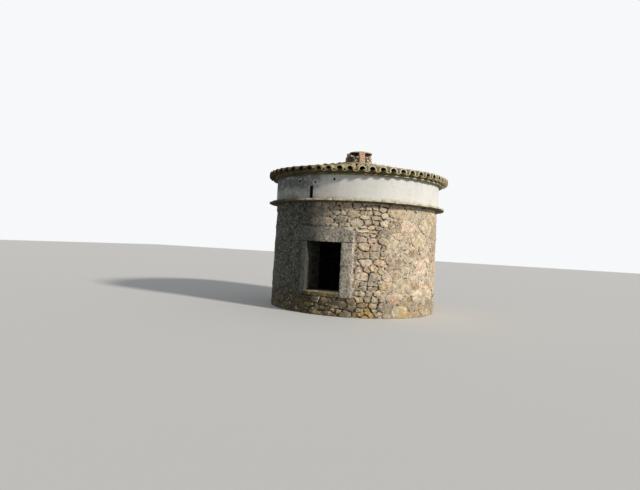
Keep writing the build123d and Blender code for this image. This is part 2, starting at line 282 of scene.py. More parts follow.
def roughen(verts, size, depth, seed=0.0):
    """Moves corners by smooth noise in all directions."""
    for v in verts:
        v.co += noise.noise_vector(v.co / size + Vector((seed, seed * 1.7, -seed))) * depth


def slice_by(bm, at, normal, dist=1e-6, clear_outer=False):
    """Cuts a form by a plane, and can take off what lies on the plane's outer side."""
    geometry = bm.verts[:] + bm.edges[:] + bm.faces[:]
    return bmesh.ops.bisect_plane(bm, geom=geometry, plane_co=at, plane_no=normal, dist=dist,
                                  clear_outer=clear_outer)


def grow(bm, face):
    """Extrudes one face, and gives the new one."""
    grown = bmesh.ops.extrude_face_region(bm, geom=[face])["geom"]
    return [g for g in grown if isinstance(g, bmesh.types.BMFace)][0]


def swing(bm, azimuth):
    """Turns a form round the tower's axis."""
    turned = Matrix.Rotation(azimuth, 3, "Z")
    bmesh.ops.rotate(bm, cent=(0, 0, 0), matrix=turned, verts=bm.verts)


def cube(x0, x1, y0, y1, z0, z1, step):
    """A closed box cut into cells of about the given size."""
    bm = bmesh.new()
    bmesh.ops.create_cube(bm, size=1.0)
    bmesh.ops.scale(bm, vec=(x1 - x0, y1 - y0, z1 - z0), verts=bm.verts)
    bmesh.ops.translate(bm, vec=((x0 + x1) / 2, (y0 + y1) / 2, (z0 + z1) / 2), verts=bm.verts)
    for axis, low, high in ((0, x0, x1), (1, y0, y1), (2, z0, z1)):
        cuts = ceil((high - low) / step) - 1
        normal = Vector([1.0 if k == axis else 0.0 for k in range(3)])
        for n in range(1, cuts + 1):
            slice_by(bm, normal * (low + (high - low) * n / (cuts + 1)), normal)
    return bm


def soften(bm, width, angle=50.0):
    """Rounds the arrises of a form."""
    sharp = [e for e in bm.edges
             if len(e.link_faces) == 2 and e.calc_face_angle(0) > radians(angle)]
    bmesh.ops.bevel(bm, geom=sharp, offset=width, offset_type="OFFSET", segments=2, profile=0.5,
                    affect="EDGES", material=-1, clamp_overlap=True)


# Rubble stones

# Share of its half width that a stone keeps clear of an opening
CLEAR_SHARE = 0.35
# Flat stones beside the doorway: least and largest height and width, and where they are larger
FLAT_RISE = (0.075, 0.150)
FLAT_WIDTH = (0.13, 0.27)
BOLD_HEIGHTS = (0.80, 1.75)
BOLD_BY = 1.45
# Stones whose middles are further apart than this squared distance don't touch
NEAR_SQUARED = 1.1
NEIGHBOURS = 13
# Share of a joint left round an opening
OPENING_JOINT = 0.6
# Smaller stones are left to the mortar
LEAST_AREA = 0.0014
# Shares of a stone's size: how far its corners are cut, and how far its outline wanders
CORNER_CUT = (0.02, 0.075)
WANDER_BROAD = 0.090
WANDER_FINE = 0.034
LEAST_SPACING = 0.040
# How deep a stone's sides go into the mortar
BURIED = 0.030
# Stones above this size get a fuller middle
LARGE_REACH = 0.15
# Range of the numbers that move one stone's noise away from its neighbours'
DRIFT = 90
# How much of the full relief stones show where joints are raked and elsewhere
RAKED_RELIEF = 1.15
FLUSH_RELIEF = 0.52
KERB_RELIEF = 0.020
# Mortar between the right jamb and the stones beside it
JAMB_MORTAR = 0.030
# The wall's rubble is gathered into this many pieces
RUBBLE_PIECES = 8


class Site:
    """One stone's place on the unrolled wall: across, up and half width."""

    def __init__(self, s, z, r):
        self.s = s
        self.z = z
        self.r = r


class Unrolled:
    """A band of wall that stones are laid out on, unrolled to a strip."""

    def __init__(self, radius, low, high, keep_out=()):
        self.radius = radius
        self.low = low
        self.high = high
        self.turn = 2 * pi * radius
        self.keep_out = keep_out

    def across(self, a, b):
        """Signed way round the strip from one place to another."""
        return (b - a + self.turn / 2) % self.turn - self.turn / 2


def room_for(strip, sites, s, z, r, crowd, flatness):
    """Whether a stone finds room clear of the openings and of the stones so far."""
    edge = CLEAR_SHARE * r
    for s0, s1, z0, z1 in strip.keep_out:
        if s0 - edge < s < s1 + edge and z0 - edge / flatness < z < z1 + edge / flatness:
            return False
    for o in sites:
        if hypot(strip.across(s, o.s), (z - o.z) * flatness) < crowd * (r + o.r):
            return False
    return True


def lay_out(strip, counts, flatness, rng, started=()):
    """Throws stones of falling size on the strip where they find room.

    Each row of counts holds tries, smallest and largest half width, the share of two half
    widths that two stones stay apart, and a stretch of azimuths without such stones.
    """
    sites = list(started)
    for tries, r_low, r_high, crowd, shun in counts:
        for _ in range(tries):
            r = rng.uniform(r_low, r_high)
            s = rng.uniform(-strip.turn / 2, strip.turn / 2)
            z = rng.uniform(strip.low, strip.high)
            if shun and shun[0] < s / strip.radius < shun[1]:
                continue
            if room_for(strip, sites, s, z, r, crowd, flatness):
                sites.append(Site(s, z, r))
    return sites


def flat_stack(strip, s0, s1, rng):
    """Small flat stones stacked in rough courses up the wall beside the doorway."""
    sites = []
    z = strip.low + 0.05
    while z < strip.high - 0.03:
        bold = BOLD_BY if BOLD_HEIGHTS[0] < z < BOLD_HEIGHTS[1] else 1.0
        rise = rng.uniform(*FLAT_RISE) * bold
        s = s0 + rng.uniform(0.04, 0.11)
        while s < s1:
            width = rng.uniform(*FLAT_WIDTH) * bold
            lift = rng.uniform(-0.018, 0.018)
            if room_for(strip, [], s, z + rise / 2, 0.02, 1.0, 1.0):
                sites.append(Site(s + width / 2, z + rise / 2 + lift, rise * 0.7))
            s += width
        z += rise
    return sites


def cuts_for(site, sites, strip, flatness, joint):
    """The straight cuts that part a stone from its neighbours and the openings."""
    near = []
    for o in sites:
        if o is site:
            continue
        ds = strip.across(site.s, o.s)
        dz = o.z - site.z
        d2 = ds * ds + (dz * flatness) ** 2
        if d2 < NEAR_SQUARED:
            near.append(((d2 + site.r**2 - o.r**2) / (2 * d2**0.5), ds, dz, d2, o))
    near.sort(key=lambda item: item[0])
    cuts = []
    for _, ds, dz, d2, o in near[:NEIGHBOURS]:
        t = (d2 + site.r**2 - o.r**2) / (2 * d2)
        normal = Vector((ds, dz * flatness**2, 0)).normalized()
        cuts.append((Vector((site.s + ds * t, site.z + dz * t, 0)) - normal * joint / 2, normal))
    cuts.append((Vector((site.s, strip.low, 0)), Vector((0, -1, 0))))
    cuts.append((Vector((site.s, strip.high, 0)), Vector((0, 1, 0))))
    gap = joint * OPENING_JOINT
    for s0, s1, z0, z1 in strip.keep_out:
        sides = [
            (site.s - s1, Vector((s1 + gap, 0, 0)), Vector((-1, 0, 0))),
            (s0 - site.s, Vector((s0 - gap, 0, 0)), Vector((1, 0, 0))),
            (site.z - z1, Vector((0, z1 + gap, 0)), Vector((0, -1, 0))),
            (z0 - site.z, Vector((0, z0 - gap, 0)), Vector((0, 1, 0))),
        ]
        _, at, normal = max(sides, key=lambda side: side[0])
        cuts.append((at, normal))
    return cuts


def outline(site, cuts):
    """The flat outline of a stone on the unrolled wall, or nothing where none is left."""
    bm = gather("stone")
    bmesh.ops.create_grid(bm, x_segments=1, y_segments=1, size=1.0)
    bmesh.ops.translate(bm, vec=(site.s, site.z, 0), verts=bm.verts)
    for at, normal in cuts:
        slice_by(bm, at, normal, dist=1e-5, clear_outer=True)
        if not bm.faces:
            bm.free()
            return None
    if bm.faces[:][0].calc_area() < LEAST_AREA:
        bm.free()
        return None
    return bm


def stone(site, cuts, strip, proud, rng):
    """One stone on the unrolled wall: x across, y up, z out of the wall.

    Its colour layer holds tone, shade, drift of the pattern, and the way in from its edge.
    """
    bm = outline(site, cuts)
    if bm is None:
        return None
    reach = bm.faces[:][0].calc_area() ** 0.5
    bmesh.ops.bevel(bm, geom=bm.verts[:], offset=rng.uniform(*CORNER_CUT) * reach,
                    offset_type="OFFSET", segments=1, profile=0.5, affect="VERTICES",
                    material=-1, clamp_overlap=True)
    bmesh.ops.remove_doubles(bm, verts=bm.verts, dist=0.006)
    if not bm.faces:
        bm.free()
        return None
    spacing = max(LEAST_SPACING, reach * 0.20)
    for e in bm.edges[:]:
        splits = int(e.calc_length() / spacing)
        if splits:
            bmesh.ops.bisect_edges(bm, edges=[e], cuts=min(5, splits), edge_percents={})
    seed = rng.uniform(0, DRIFT)
    top = bm.faces[:][0]
    middle = top.calc_center_median()
    for v in bm.verts:
        broad = noise.noise_vector(v.co / (0.40 * reach + 0.02) + Vector((seed, seed, 0)))
        fine = noise.noise_vector(v.co / 0.035 + Vector((0, seed, seed)))
        shift = broad * WANDER_BROAD + fine * WANDER_FINE
        v.co += Vector((shift.x, shift.y, 0)) * reach
        v.co.y = min(max(v.co.y, strip.low + 0.001), strip.high)
    rise = proud * rng.uniform(0.55, 1.25) * min(1.0, 0.40 + reach * 2.6)
    lean = Vector((rng.uniform(-0.05, 0.05), rng.uniform(-0.04, 0.06)))
    # Outlines from the mortar out: share of the first, way out of the wall, roughness
    rings = [(1.0, -BURIED, 0.0), (1.0, rise * 0.30, 0.0), (0.955, rise * 0.78, 0.5),
             (0.84, rise * 1.04, 0.9)]
    if reach > LARGE_REACH:
        rings.append((0.50, rise * 1.12, 1.3))
    size = 1.0
    store = bm.verts.layers.float_color.get("stone")
    tone = rng.random()
    shade = rng.random()
    for n, (share, lift, rough) in enumerate(rings):
        if n:
            under = top
            top = grow(bm, top)
            if n > 1:
                bmesh.ops.delete(bm, geom=[under], context="FACES_ONLY")
        for v in top.verts:
            flat = Vector((v.co.x - middle.x, v.co.y - middle.y)) * share / size
            v.co = Vector((middle.x + flat.x, middle.y + flat.y, lift))
            if rough:
                place = Vector((v.co.x, v.co.y, 0))
                bumps = noise.noise(place / 0.10 + Vector((seed, 0, seed)))
                bumps += noise.noise(place / 0.04 + Vector((0, seed, 0))) * 0.5
                v.co.z += rough * (bumps * rise * 0.42 + lean.x * flat.x + lean.y * flat.y)
            v[store] = (tone, shade, seed / DRIFT, min(1.0, (1 - share) * reach * 5))
        size = share
    if len(top.verts) > 4:
        for v in bmesh.ops.poke(bm, faces=[top])["verts"]:
            v[store] = (tone, shade, seed / DRIFT, min(1.0, reach * 5))
    bmesh.ops.recalc_face_normals(bm, faces=bm.faces)
    return bm


def roll_up(bm, radius_at, strip_radius):
    """Bends a form from the unrolled strip round the tower."""
    for v in bm.verts:
        v.co = around(v.co.x / strip_radius, radius_at(v.co.y) + v.co.z, v.co.y)


def rubble(name, strip, sites, settings, radius_at, proud_at, pieces, rng):
    """Shapes the stones of one band of wall and gathers them into a few pieces."""
    sites.sort(key=lambda o: o.s)
    totals = [gather("stone") for _ in range(pieces)]
    for site in sites:
        joint = settings.joint * rng.uniform(0.5, 1.5)
        cuts = cuts_for(site, sites, strip, settings.flatness, joint)
        bm = stone(site, cuts, strip, proud_at(site.s / strip.radius, site.z), rng)
        if bm is None:
            continue
        roll_up(bm, radius_at, strip.radius)
        stamp(totals[int((site.s / strip.turn + 0.5) * pieces) % pieces], bm)
    for n, total in enumerate(totals):
        label = f"{name}_{n + 1}" if pieces > 1 else name
        piece(label, total, material("rubble_stone"), sharp=30.0)


def build_rubble():
    """The wall's rubble stones in eight pieces, and mortar on the wall behind them."""
    settings = bpy.context.scene.dovecote.rubble
    jamb_low, jamb_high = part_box("jamb_left"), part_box("jamb_right")
    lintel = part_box("lintel")
    radius = wall_r(WALL_HEAD_Z / 2)

    def edge(x):
        return asin(x / WALL_FOOT_R) * radius

    beside_jamb = edge(jamb_high[1].x) + JAMB_MORTAR
    keep_out = [
        (edge(jamb_low[0].x), beside_jamb, jamb_low[0].z, lintel[0].z + 0.05),
        (edge(lintel[0].x), edge(lintel[1].x), lintel[0].z, lintel[1].z),
    ]
    strip = Unrolled(radius, 0.0, WALL_HEAD_Z - 0.004, keep_out)
    rng = random.Random(settings.seed)
    beside = flat_stack(strip, beside_jamb, FLAT_STRETCH_END * radius, rng)
    counts = [
        (1100, settings.big * 0.80, settings.big * 1.25, 0.92, DOOR_STRETCH),
        (3000, settings.medium * 0.82, settings.medium * 1.20, 0.90, None),
        (3600, settings.small * 0.82, settings.small * 1.20, 0.90, None),
        (3600, settings.pin * 0.85, settings.pin * 1.20, 0.94, None),
    ]
    sites = lay_out(strip, counts, settings.flatness, rng, beside)

    def proud_at(azimuth, z):
        beside = RAKED[0] < azimuth < RAKED[1]
        below = z < RAKED_BELOW[1] and RAKED_BELOW[0] < azimuth < RAKED[0]
        return settings.proud * (RAKED_RELIEF if beside or below else FLUSH_RELIEF)

    rubble("rubble_stones", strip, sites, settings, wall_r, proud_at, RUBBLE_PIECES, rng)
    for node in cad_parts:
        if node.startswith("wall_") and not node.startswith("wall_plate"):
            dress(node, "lime_mortar")


# Node helpers


class Tree:
    """Short calls for building one material's or group's nodes."""

    def __init__(self, tree):
        self.tree = tree
        self.column = 0

    def add(self, kind, inputs=None, **settings):
        """A new node with its settings and inputs."""
        n = self.tree.nodes.new(kind)
        n.location = (self.column * 180, 0)
        self.column += 1
        for key, value in settings.items():
            setattr(n, key, value)
        for key, value in (inputs or {}).items():
            self.put(n.inputs[key], value)
        return n

    def put(self, socket, value):
        """Links a socket to another one, or sets its value."""
        if isinstance(value, bpy.types.NodeSocket):
            self.tree.links.new(value, socket)
        elif value is not None:
            if hasattr(socket.default_value, "__len__") and len(socket.default_value) == 4:
                value = tuple(value[:3]) + (1.0,)
            socket.default_value = value

    def math(self, operation, a, b=None, c=None):
        return self.add("ShaderNodeMath", {0: a, 1: b, 2: c}, operation=operation).outputs[0]

    def times(self, a, b):
        return self.math("MULTIPLY", a, b)

    def plus(self, a, b):
        return self.math("ADD", a, b)

    def minus(self, a, b):
        return self.math("SUBTRACT", a, b)

    def most(self, a, b):
        return self.math("MAXIMUM", a, b)

    def noise(self, vector, scale, detail=4.0, rough=0.55):
        """A soft random pattern from 0 to 1."""
        n = self.add("ShaderNodeTexNoise", {"Vector": vector, "Scale": scale, "Detail": detail,
                                            "Roughness": rough})
        return n.outputs["Fac"]

    def cells(self, vector, scale, feature="F1"):
        """Rounded cells, for lichen spots and for the stones inside the tower."""
        return self.add("ShaderNodeTexVoronoi", {"Vector": vector, "Scale": scale}, feature=feature)

    def ramp(self, value, low, high, to_low=0.0, to_high=1.0):
        """A value eased from one range into another, and held at its ends."""
        n = self.add("ShaderNodeMapRange", {"Value": value, "From Min": low, "From Max": high,
                                            "To Min": to_low, "To Max": to_high})
        n.clamp = True
        n.interpolation_type = "SMOOTHSTEP"
        return n.outputs[0]

    def sweep(self, azimuth, low, high, to_low=0.0, to_high=1.0):
        """A ramp between two azimuths in degrees."""
        return self.ramp(azimuth, radians(low), radians(high), to_low, to_high)

    def blend(self, fac, a, b, mode="MIX"):
        """A colour between two others."""
        n = self.add("ShaderNodeMix", data_type="RGBA", blend_type=mode, clamp_factor=True)
        self.put(n.inputs[0], fac)
        self.put(n.inputs[6], a)
        self.put(n.inputs[7], b)
        return n.outputs[2]

    def coat(self, colour, mask, strength, over):
        """Lays one colour over another where a mask is, as thickly as the strength says."""
        return self.blend(self.times(mask, strength), colour, over)

    def tinted(self, colour, by):
        """A colour multiplied by a value."""
        return self.blend(1.0, colour, by, "MULTIPLY")

    def colours(self, value, stops):
        """A colour that runs through a row of stops."""
        n = self.add("ShaderNodeValToRGB", {0: value})
        while len(n.color_ramp.elements) < len(stops):
            n.color_ramp.elements.new(0.5)
        for element, (at, colour) in zip(n.color_ramp.elements, stops):
            element.position = at
            element.color = tuple(colour) + (1.0,)
        return n.outputs[0]

    def bump(self, height, strength, distance):
        """A normal from a relief."""
        n = self.add("ShaderNodeBump", {"Height": height, "Strength": strength,
                                        "Distance": distance})
        return n.outputs[0]

    def place(self):
        """The place on the tower, on Object coordinates."""
        return self.add("ShaderNodeTexCoord").outputs["Object"]

    def part(self, vector, axis):
        """One axis of a vector."""
        return self.add("ShaderNodeSeparateXYZ", {0: vector}).outputs[axis]

    def stored(self, layer):
        """The values of a piece's colour layer, and the fourth one."""
        n = self.add("ShaderNodeAttribute", attribute_name=layer)
        values = self.add("ShaderNodeSeparateColor", {0: n.outputs["Color"]}).outputs
        return values[0], values[1], values[2], n.outputs["Alpha"]

    def facing(self):
        """How far the surface faces upwards."""
        return self.part(self.add("ShaderNodeNewGeometry").outputs["Normal"], "Z")

    def around_axis(self, vector):
        """Way round the tower from -Y towards +X, and height."""
        parts = self.add("ShaderNodeSeparateXYZ", {0: vector}).outputs
        return self.math("ARCTAN2", parts["X"], self.times(parts["Y"], -1.0)), parts["Z"]

    def shown(self):
        """Whether a ray shows the background itself, and doesn't only carry its light."""
        rays = self.add("ShaderNodeLightPath").outputs
        seen = self.most(rays["Is Camera Ray"], rays["Is Glossy Ray"])
        return self.most(seen, rays["Is Transmission Ray"])

    def group(self, name, inputs):
        """One of the shared node groups, and its outputs."""
        n = self.add("ShaderNodeGroup")
        n.node_tree = shared(name)
        for key, value in inputs.items():
            self.put(n.inputs[key], value)
        return n.outputs


class Finish(Tree):
    """One material: its nodes and a Principled shader of constant roughness."""

    def __init__(self, name, roughness):
        self.made = bpy.data.materials.new(name)
        self.made.use_nodes = True
        super().__init__(self.made.node_tree)
        self.shader = self.made.node_tree.nodes["Principled BSDF"]
        self.shader.inputs["Roughness"].default_value = roughness
        self.shader.inputs["Specular IOR Level"].default_value = 0.3

    def done(self, colour, relief, strength, depth):
        """Joins the colour and the relief to the shader."""
        self.put(self.shader.inputs["Base Color"], colour)
        self.put(self.shader.inputs["Normal"], self.bump(relief, strength, depth))
        return self.made


# Shared node groups

FLOAT = "NodeSocketFloat"
COLOR = "NodeSocketColor"
VECTOR = "NodeSocketVector"

GRAIN_DARK = (0.09, 0.08, 0.07)
GRAIN_PALE = (0.86, 0.80, 0.70)


def new_group(name, inputs, outputs):
    """An empty shared node group with its sockets."""
    tree = bpy.data.node_groups.new(name, "ShaderNodeTree")
    for label, kind, value in inputs:
        socket = tree.interface.new_socket(name=label, in_out="INPUT", socket_type=kind)
        if value is not None:
            socket.default_value = value
    for label, kind in outputs:
        tree.interface.new_socket(name=label, in_out="OUTPUT", socket_type=kind)
    t = Tree(tree)
    return t, t.add("NodeGroupInput").outputs, t.add("NodeGroupOutput").inputs


def patches_group():
    """A mask of soft edged patches at one scale with finer ragged edges."""
    inputs = [("Vector", VECTOR, None), ("Scale", FLOAT, 3.0), ("Cover", FLOAT, 0.5),
              ("Soft", FLOAT, 0.08)]
    t, given, out = new_group("Patches", inputs, [("Mask", FLOAT)])
    coarse = t.noise(given["Vector"], given["Scale"], detail=6.0, rough=0.62)
    edge = t.minus(1.0, given["Cover"])
    low = t.minus(edge, given["Soft"])
    high = t.plus(edge, given["Soft"])
    mask = t.add("ShaderNodeMapRange", {"Value": coarse, "From Min": low, "From Max": high})
    t.put(out["Mask"], mask.outputs[0])
    return t.tree


def speckle_group():
    """Granite grain: dark and pale crystals over a stone colour, with their relief."""
    inputs = [("Vector", VECTOR, None), ("Colour", COLOR, None), ("Grain", FLOAT, 90.0),
              ("Amount", FLOAT, 0.5)]
    outputs = [("Colour", COLOR), ("Height", FLOAT)]
    t, given, out = new_group("Granite grain", inputs, outputs)
    fine = t.noise(given["Vector"], given["Grain"], detail=2.0, rough=0.7)
    dark = t.ramp(fine, 0.44, 0.28)
    pale = t.ramp(fine, 0.56, 0.72)
    colour = t.coat(given["Colour"], dark, given["Amount"], GRAIN_DARK)
    colour = t.coat(colour, pale, given["Amount"], GRAIN_PALE)
    t.put(out["Colour"], colour)
    medium = t.noise(given["Vector"], 28.0, detail=5.0, rough=0.6)
    t.put(out["Height"], t.plus(t.times(medium, 0.7), t.times(fine, 0.3)))
    return t.tree


def lichen_group():
    """Round crusty lichen spots of several sizes, as a mask."""
    inputs = [("Vector", VECTOR, None), ("Scale", FLOAT, 14.0), ("Cover", FLOAT, 0.4)]
    t, given, out = new_group("Lichen spots", inputs, [("Mask", FLOAT)])
    spots = t.ramp(t.cells(given["Vector"], given["Scale"]).outputs["Distance"], 0.42, 0.22)
    where = t.noise(given["Vector"], 2.3, detail=5.0, rough=0.65)
    edge = t.minus(1.0, given["Cover"])
    gate = t.add("ShaderNodeMapRange", {"Value": where, "From Min": edge,
                                        "From Max": t.plus(edge, 0.09)})
    t.put(out["Mask"], t.times(spots, gate.outputs[0]))
    return t.tree


def polar_group():
    """Object coordinates turned to way round, distance from the axis and height."""
    t, given, out = new_group("Round the axis", [("Vector", VECTOR, None)], [("Vector", VECTOR)])
    azimuth, z = t.around_axis(given["Vector"])
    flat = t.add("ShaderNodeCombineXYZ", {"X": t.part(given["Vector"], "X"),
                                          "Y": t.part(given["Vector"], "Y")})
    length = t.add("ShaderNodeVectorMath", {0: flat.outputs[0]}, operation="LENGTH")
    joined = t.add("ShaderNodeCombineXYZ", {"X": azimuth, "Y": length.outputs["Value"], "Z": z})
    t.put(out["Vector"], joined.outputs[0])
    return t.tree


def painted_shade_side_group():
    """Painted shade over the tower's left side, with some damp weathering: a mask from an azimuth
    leftwards, with a ragged edge.
    """
    inputs = [("Vector", VECTOR, None), ("Azimuth", FLOAT, 0.0)]
    t, given, out = new_group("Painted shade side", inputs, [("Mask", FLOAT)])
    azimuth, _ = t.around_axis(given["Vector"])
    ragged = t.noise(given["Vector"], 1.6, detail=5.0, rough=0.6)
    along = t.plus(azimuth, t.math("MULTIPLY_ADD", ragged, 0.5, -0.25))
    near = t.sweep(t.minus(along, given["Azimuth"]), 11.0, -11.0)
    far = t.sweep(along, -150.0, -105.0)
    t.put(out["Mask"], t.times(near, far))
    return t.tree


def pit_shade_group():
    """A mask of painted shade in the small deep pits where mortar has washed out, thicker where
    joints are raked.
    """
    t, given, out = new_group("Mortar pit shade", [("Vector", VECTOR, None)], [("Mask", FLOAT)])
    azimuth, z = t.around_axis(given["Vector"])
    opening = t.ramp(azimuth, RAKED[0], RAKED[0] + 0.02)
    closing = t.ramp(azimuth, RAKED[1] + 0.06, RAKED[1] - 0.10)
    beside = t.times(opening, closing)
    over = t.times(t.sweep(azimuth, -6.0, 8.0), t.sweep(azimuth, 52.0, 40.0))
    over = t.times(over, t.ramp(z, 1.96, 2.06))
    under = t.times(t.sweep(azimuth, -12.0, 6.0), t.ramp(z, 0.55, 0.42))
    under = t.times(under, t.sweep(azimuth, 44.0, 34.0))
    raked = t.most(t.most(beside, over), under)
    pit_shade_mask = t.noise(given["Vector"], 15.0, detail=7.0, rough=0.66)
    t.put(out["Mask"], t.ramp(t.math("MULTIPLY_ADD", raked, 0.062, pit_shade_mask), 0.558, 0.612))
    return t.tree


GROUP_MAKERS = {
    "patches": patches_group,
    "speckle": speckle_group,
    "lichen": lichen_group,
    "polar": polar_group,
    "painted_shade": painted_shade_side_group,
    "pit_shade": pit_shade_group,
}
GROUPS = {}


def shared(name):
    """A shared node group by its name, built when first asked for."""
    if name not in GROUPS:
        GROUPS[name] = GROUP_MAKERS[name]()
    return GROUPS[name]


def patches(t, vector, scale, cover, soft=0.08):
    """A mask of patches of one size that cover a share of the surface."""
    inputs = {"Vector": vector, "Scale": scale, "Cover": cover, "Soft": soft}
    return t.group("patches", inputs)[0]


def lichen(t, vector, scale, cover):
    """A mask of lichen spots."""
    return t.group("lichen", {"Vector": vector, "Scale": scale, "Cover": cover})[0]


def painted_shade_side(t, vector, azimuth):
    """A mask of painted shade, with some damp weathering, left of an azimuth in degrees."""
    return t.group("painted_shade", {"Vector": vector, "Azimuth": radians(azimuth)})[0]


def pit_shade(t, vector):
    """A mask of painted shade in the pits of the mortar."""
    return t.group("pit_shade", {"Vector": vector})[0]


def polar(t, vector):
    """Way round, distance from the axis and height."""
    return t.group("polar", {"Vector": vector})[0]


def azimuth_of(t, vector):
    """Way round the tower in radians."""
    return t.part(polar(t, vector), "X")


def distance_of(t, vector):
    """Distance from the tower's axis."""
    return t.part(polar(t, vector), "Y")


def speckled(t, vector, colour, grain, amount):
    """A colour with granite grain over it, and the grain's relief."""
    inputs = {"Vector": vector, "Colour": colour, "Grain": grain, "Amount": amount}
    made = t.group("speckle", inputs)
    return made["Colour"], made["Height"]


# Materials: stone and mortar

FOOT_MOSS = (0.085, 0.075, 0.040)
CRUST_CREAM = (0.74, 0.66, 0.48)
CRUST_GOLD = (0.66, 0.44, 0.10)
FOOT_GOLD = (0.72, 0.46, 0.10)


def foot_weathering(t, vector, colour):
    """Lichen, moss stain and damp that gather near the foot of the wall."""
    z = t.part(vector, "Z")
    azimuth = azimuth_of(t, vector)
    by_door = t.times(t.sweep(azimuth, 26.0, 12.0), t.sweep(azimuth, -40.0, -22.0))
    reach = t.math("MULTIPLY_ADD", by_door, 0.6, 0.4)
    moss = t.times(patches(t, vector, 6.0, 0.60, 0.05), t.times(t.ramp(z, 0.66, 0.30), reach))
    colour = t.coat(colour, moss, 0.88, FOOT_MOSS)
    low_by_door = t.times(by_door, t.ramp(z, 0.56, 0.46))
    crusts = t.times(lichen(t, vector, 13.0, 0.56), low_by_door)
    golden = t.ramp(t.noise(vector, 5.0, detail=3.0), 0.46, 0.56)
    colour = t.coat(colour, crusts, 0.75, t.blend(golden, CRUST_CREAM, CRUST_GOLD))
    right = t.times(t.sweep(azimuth, 17.0, 27.0), t.sweep(azimuth, 75.0, 55.0))
    where = t.math("MULTIPLY_ADD", right, 0.62, 0.30)
    gold = t.times(patches(t, vector, 3.4, 0.46, 0.05), t.ramp(z, 0.50, 0.20))
    spotted = t.times(gold, t.ramp(t.noise(vector, 20.0, detail=4.0), 0.42, 0.54))
    return t.coat(colour, spotted, where, FOOT_GOLD)


def mortar_colour(t, vector):
    """Lime mortar, mottled, and darkened by painted shade on the left side, with some damp
    weathering, less than the stones are.
    """
    settings = bpy.context.scene.dovecote.rubble
    grey = t.ramp(t.noise(vector, 9.0, detail=6.0, rough=0.7), 0.40, 0.60, 0.97, 0.66)
    # Painted shade on the left side, with some damp weathering
    mortar = t.coat(settings.mortar, painted_shade_side(t, vector, -2.0), grey, settings.shade)
    fine = t.noise(vector, 36.0, detail=5.0, rough=0.7)
    broad = t.noise(vector, 5.0, detail=5.0, rough=0.6)
    mottled = t.plus(t.times(fine, 0.5), t.times(broad, 0.5))
    return t.tinted(mortar, t.ramp(mottled, 0.35, 0.65, 0.66, 1.06))


BROWN_STAIN = (0.24, 0.165, 0.10)
LIME_FILM = (0.92, 0.81, 0.64)
POCK_SHADE = (0.12, 0.09, 0.06)
DARK_STAIN = (0.13, 0.115, 0.09)
HIGH_PALE = (0.98, 0.84, 0.57)
STONE_LICHEN = (0.82, 0.78, 0.64)
PAINTED_SHADE_SPECK = (0.27, 0.285, 0.245)
STONE_PIT_SHADE = (0.045, 0.036, 0.026)


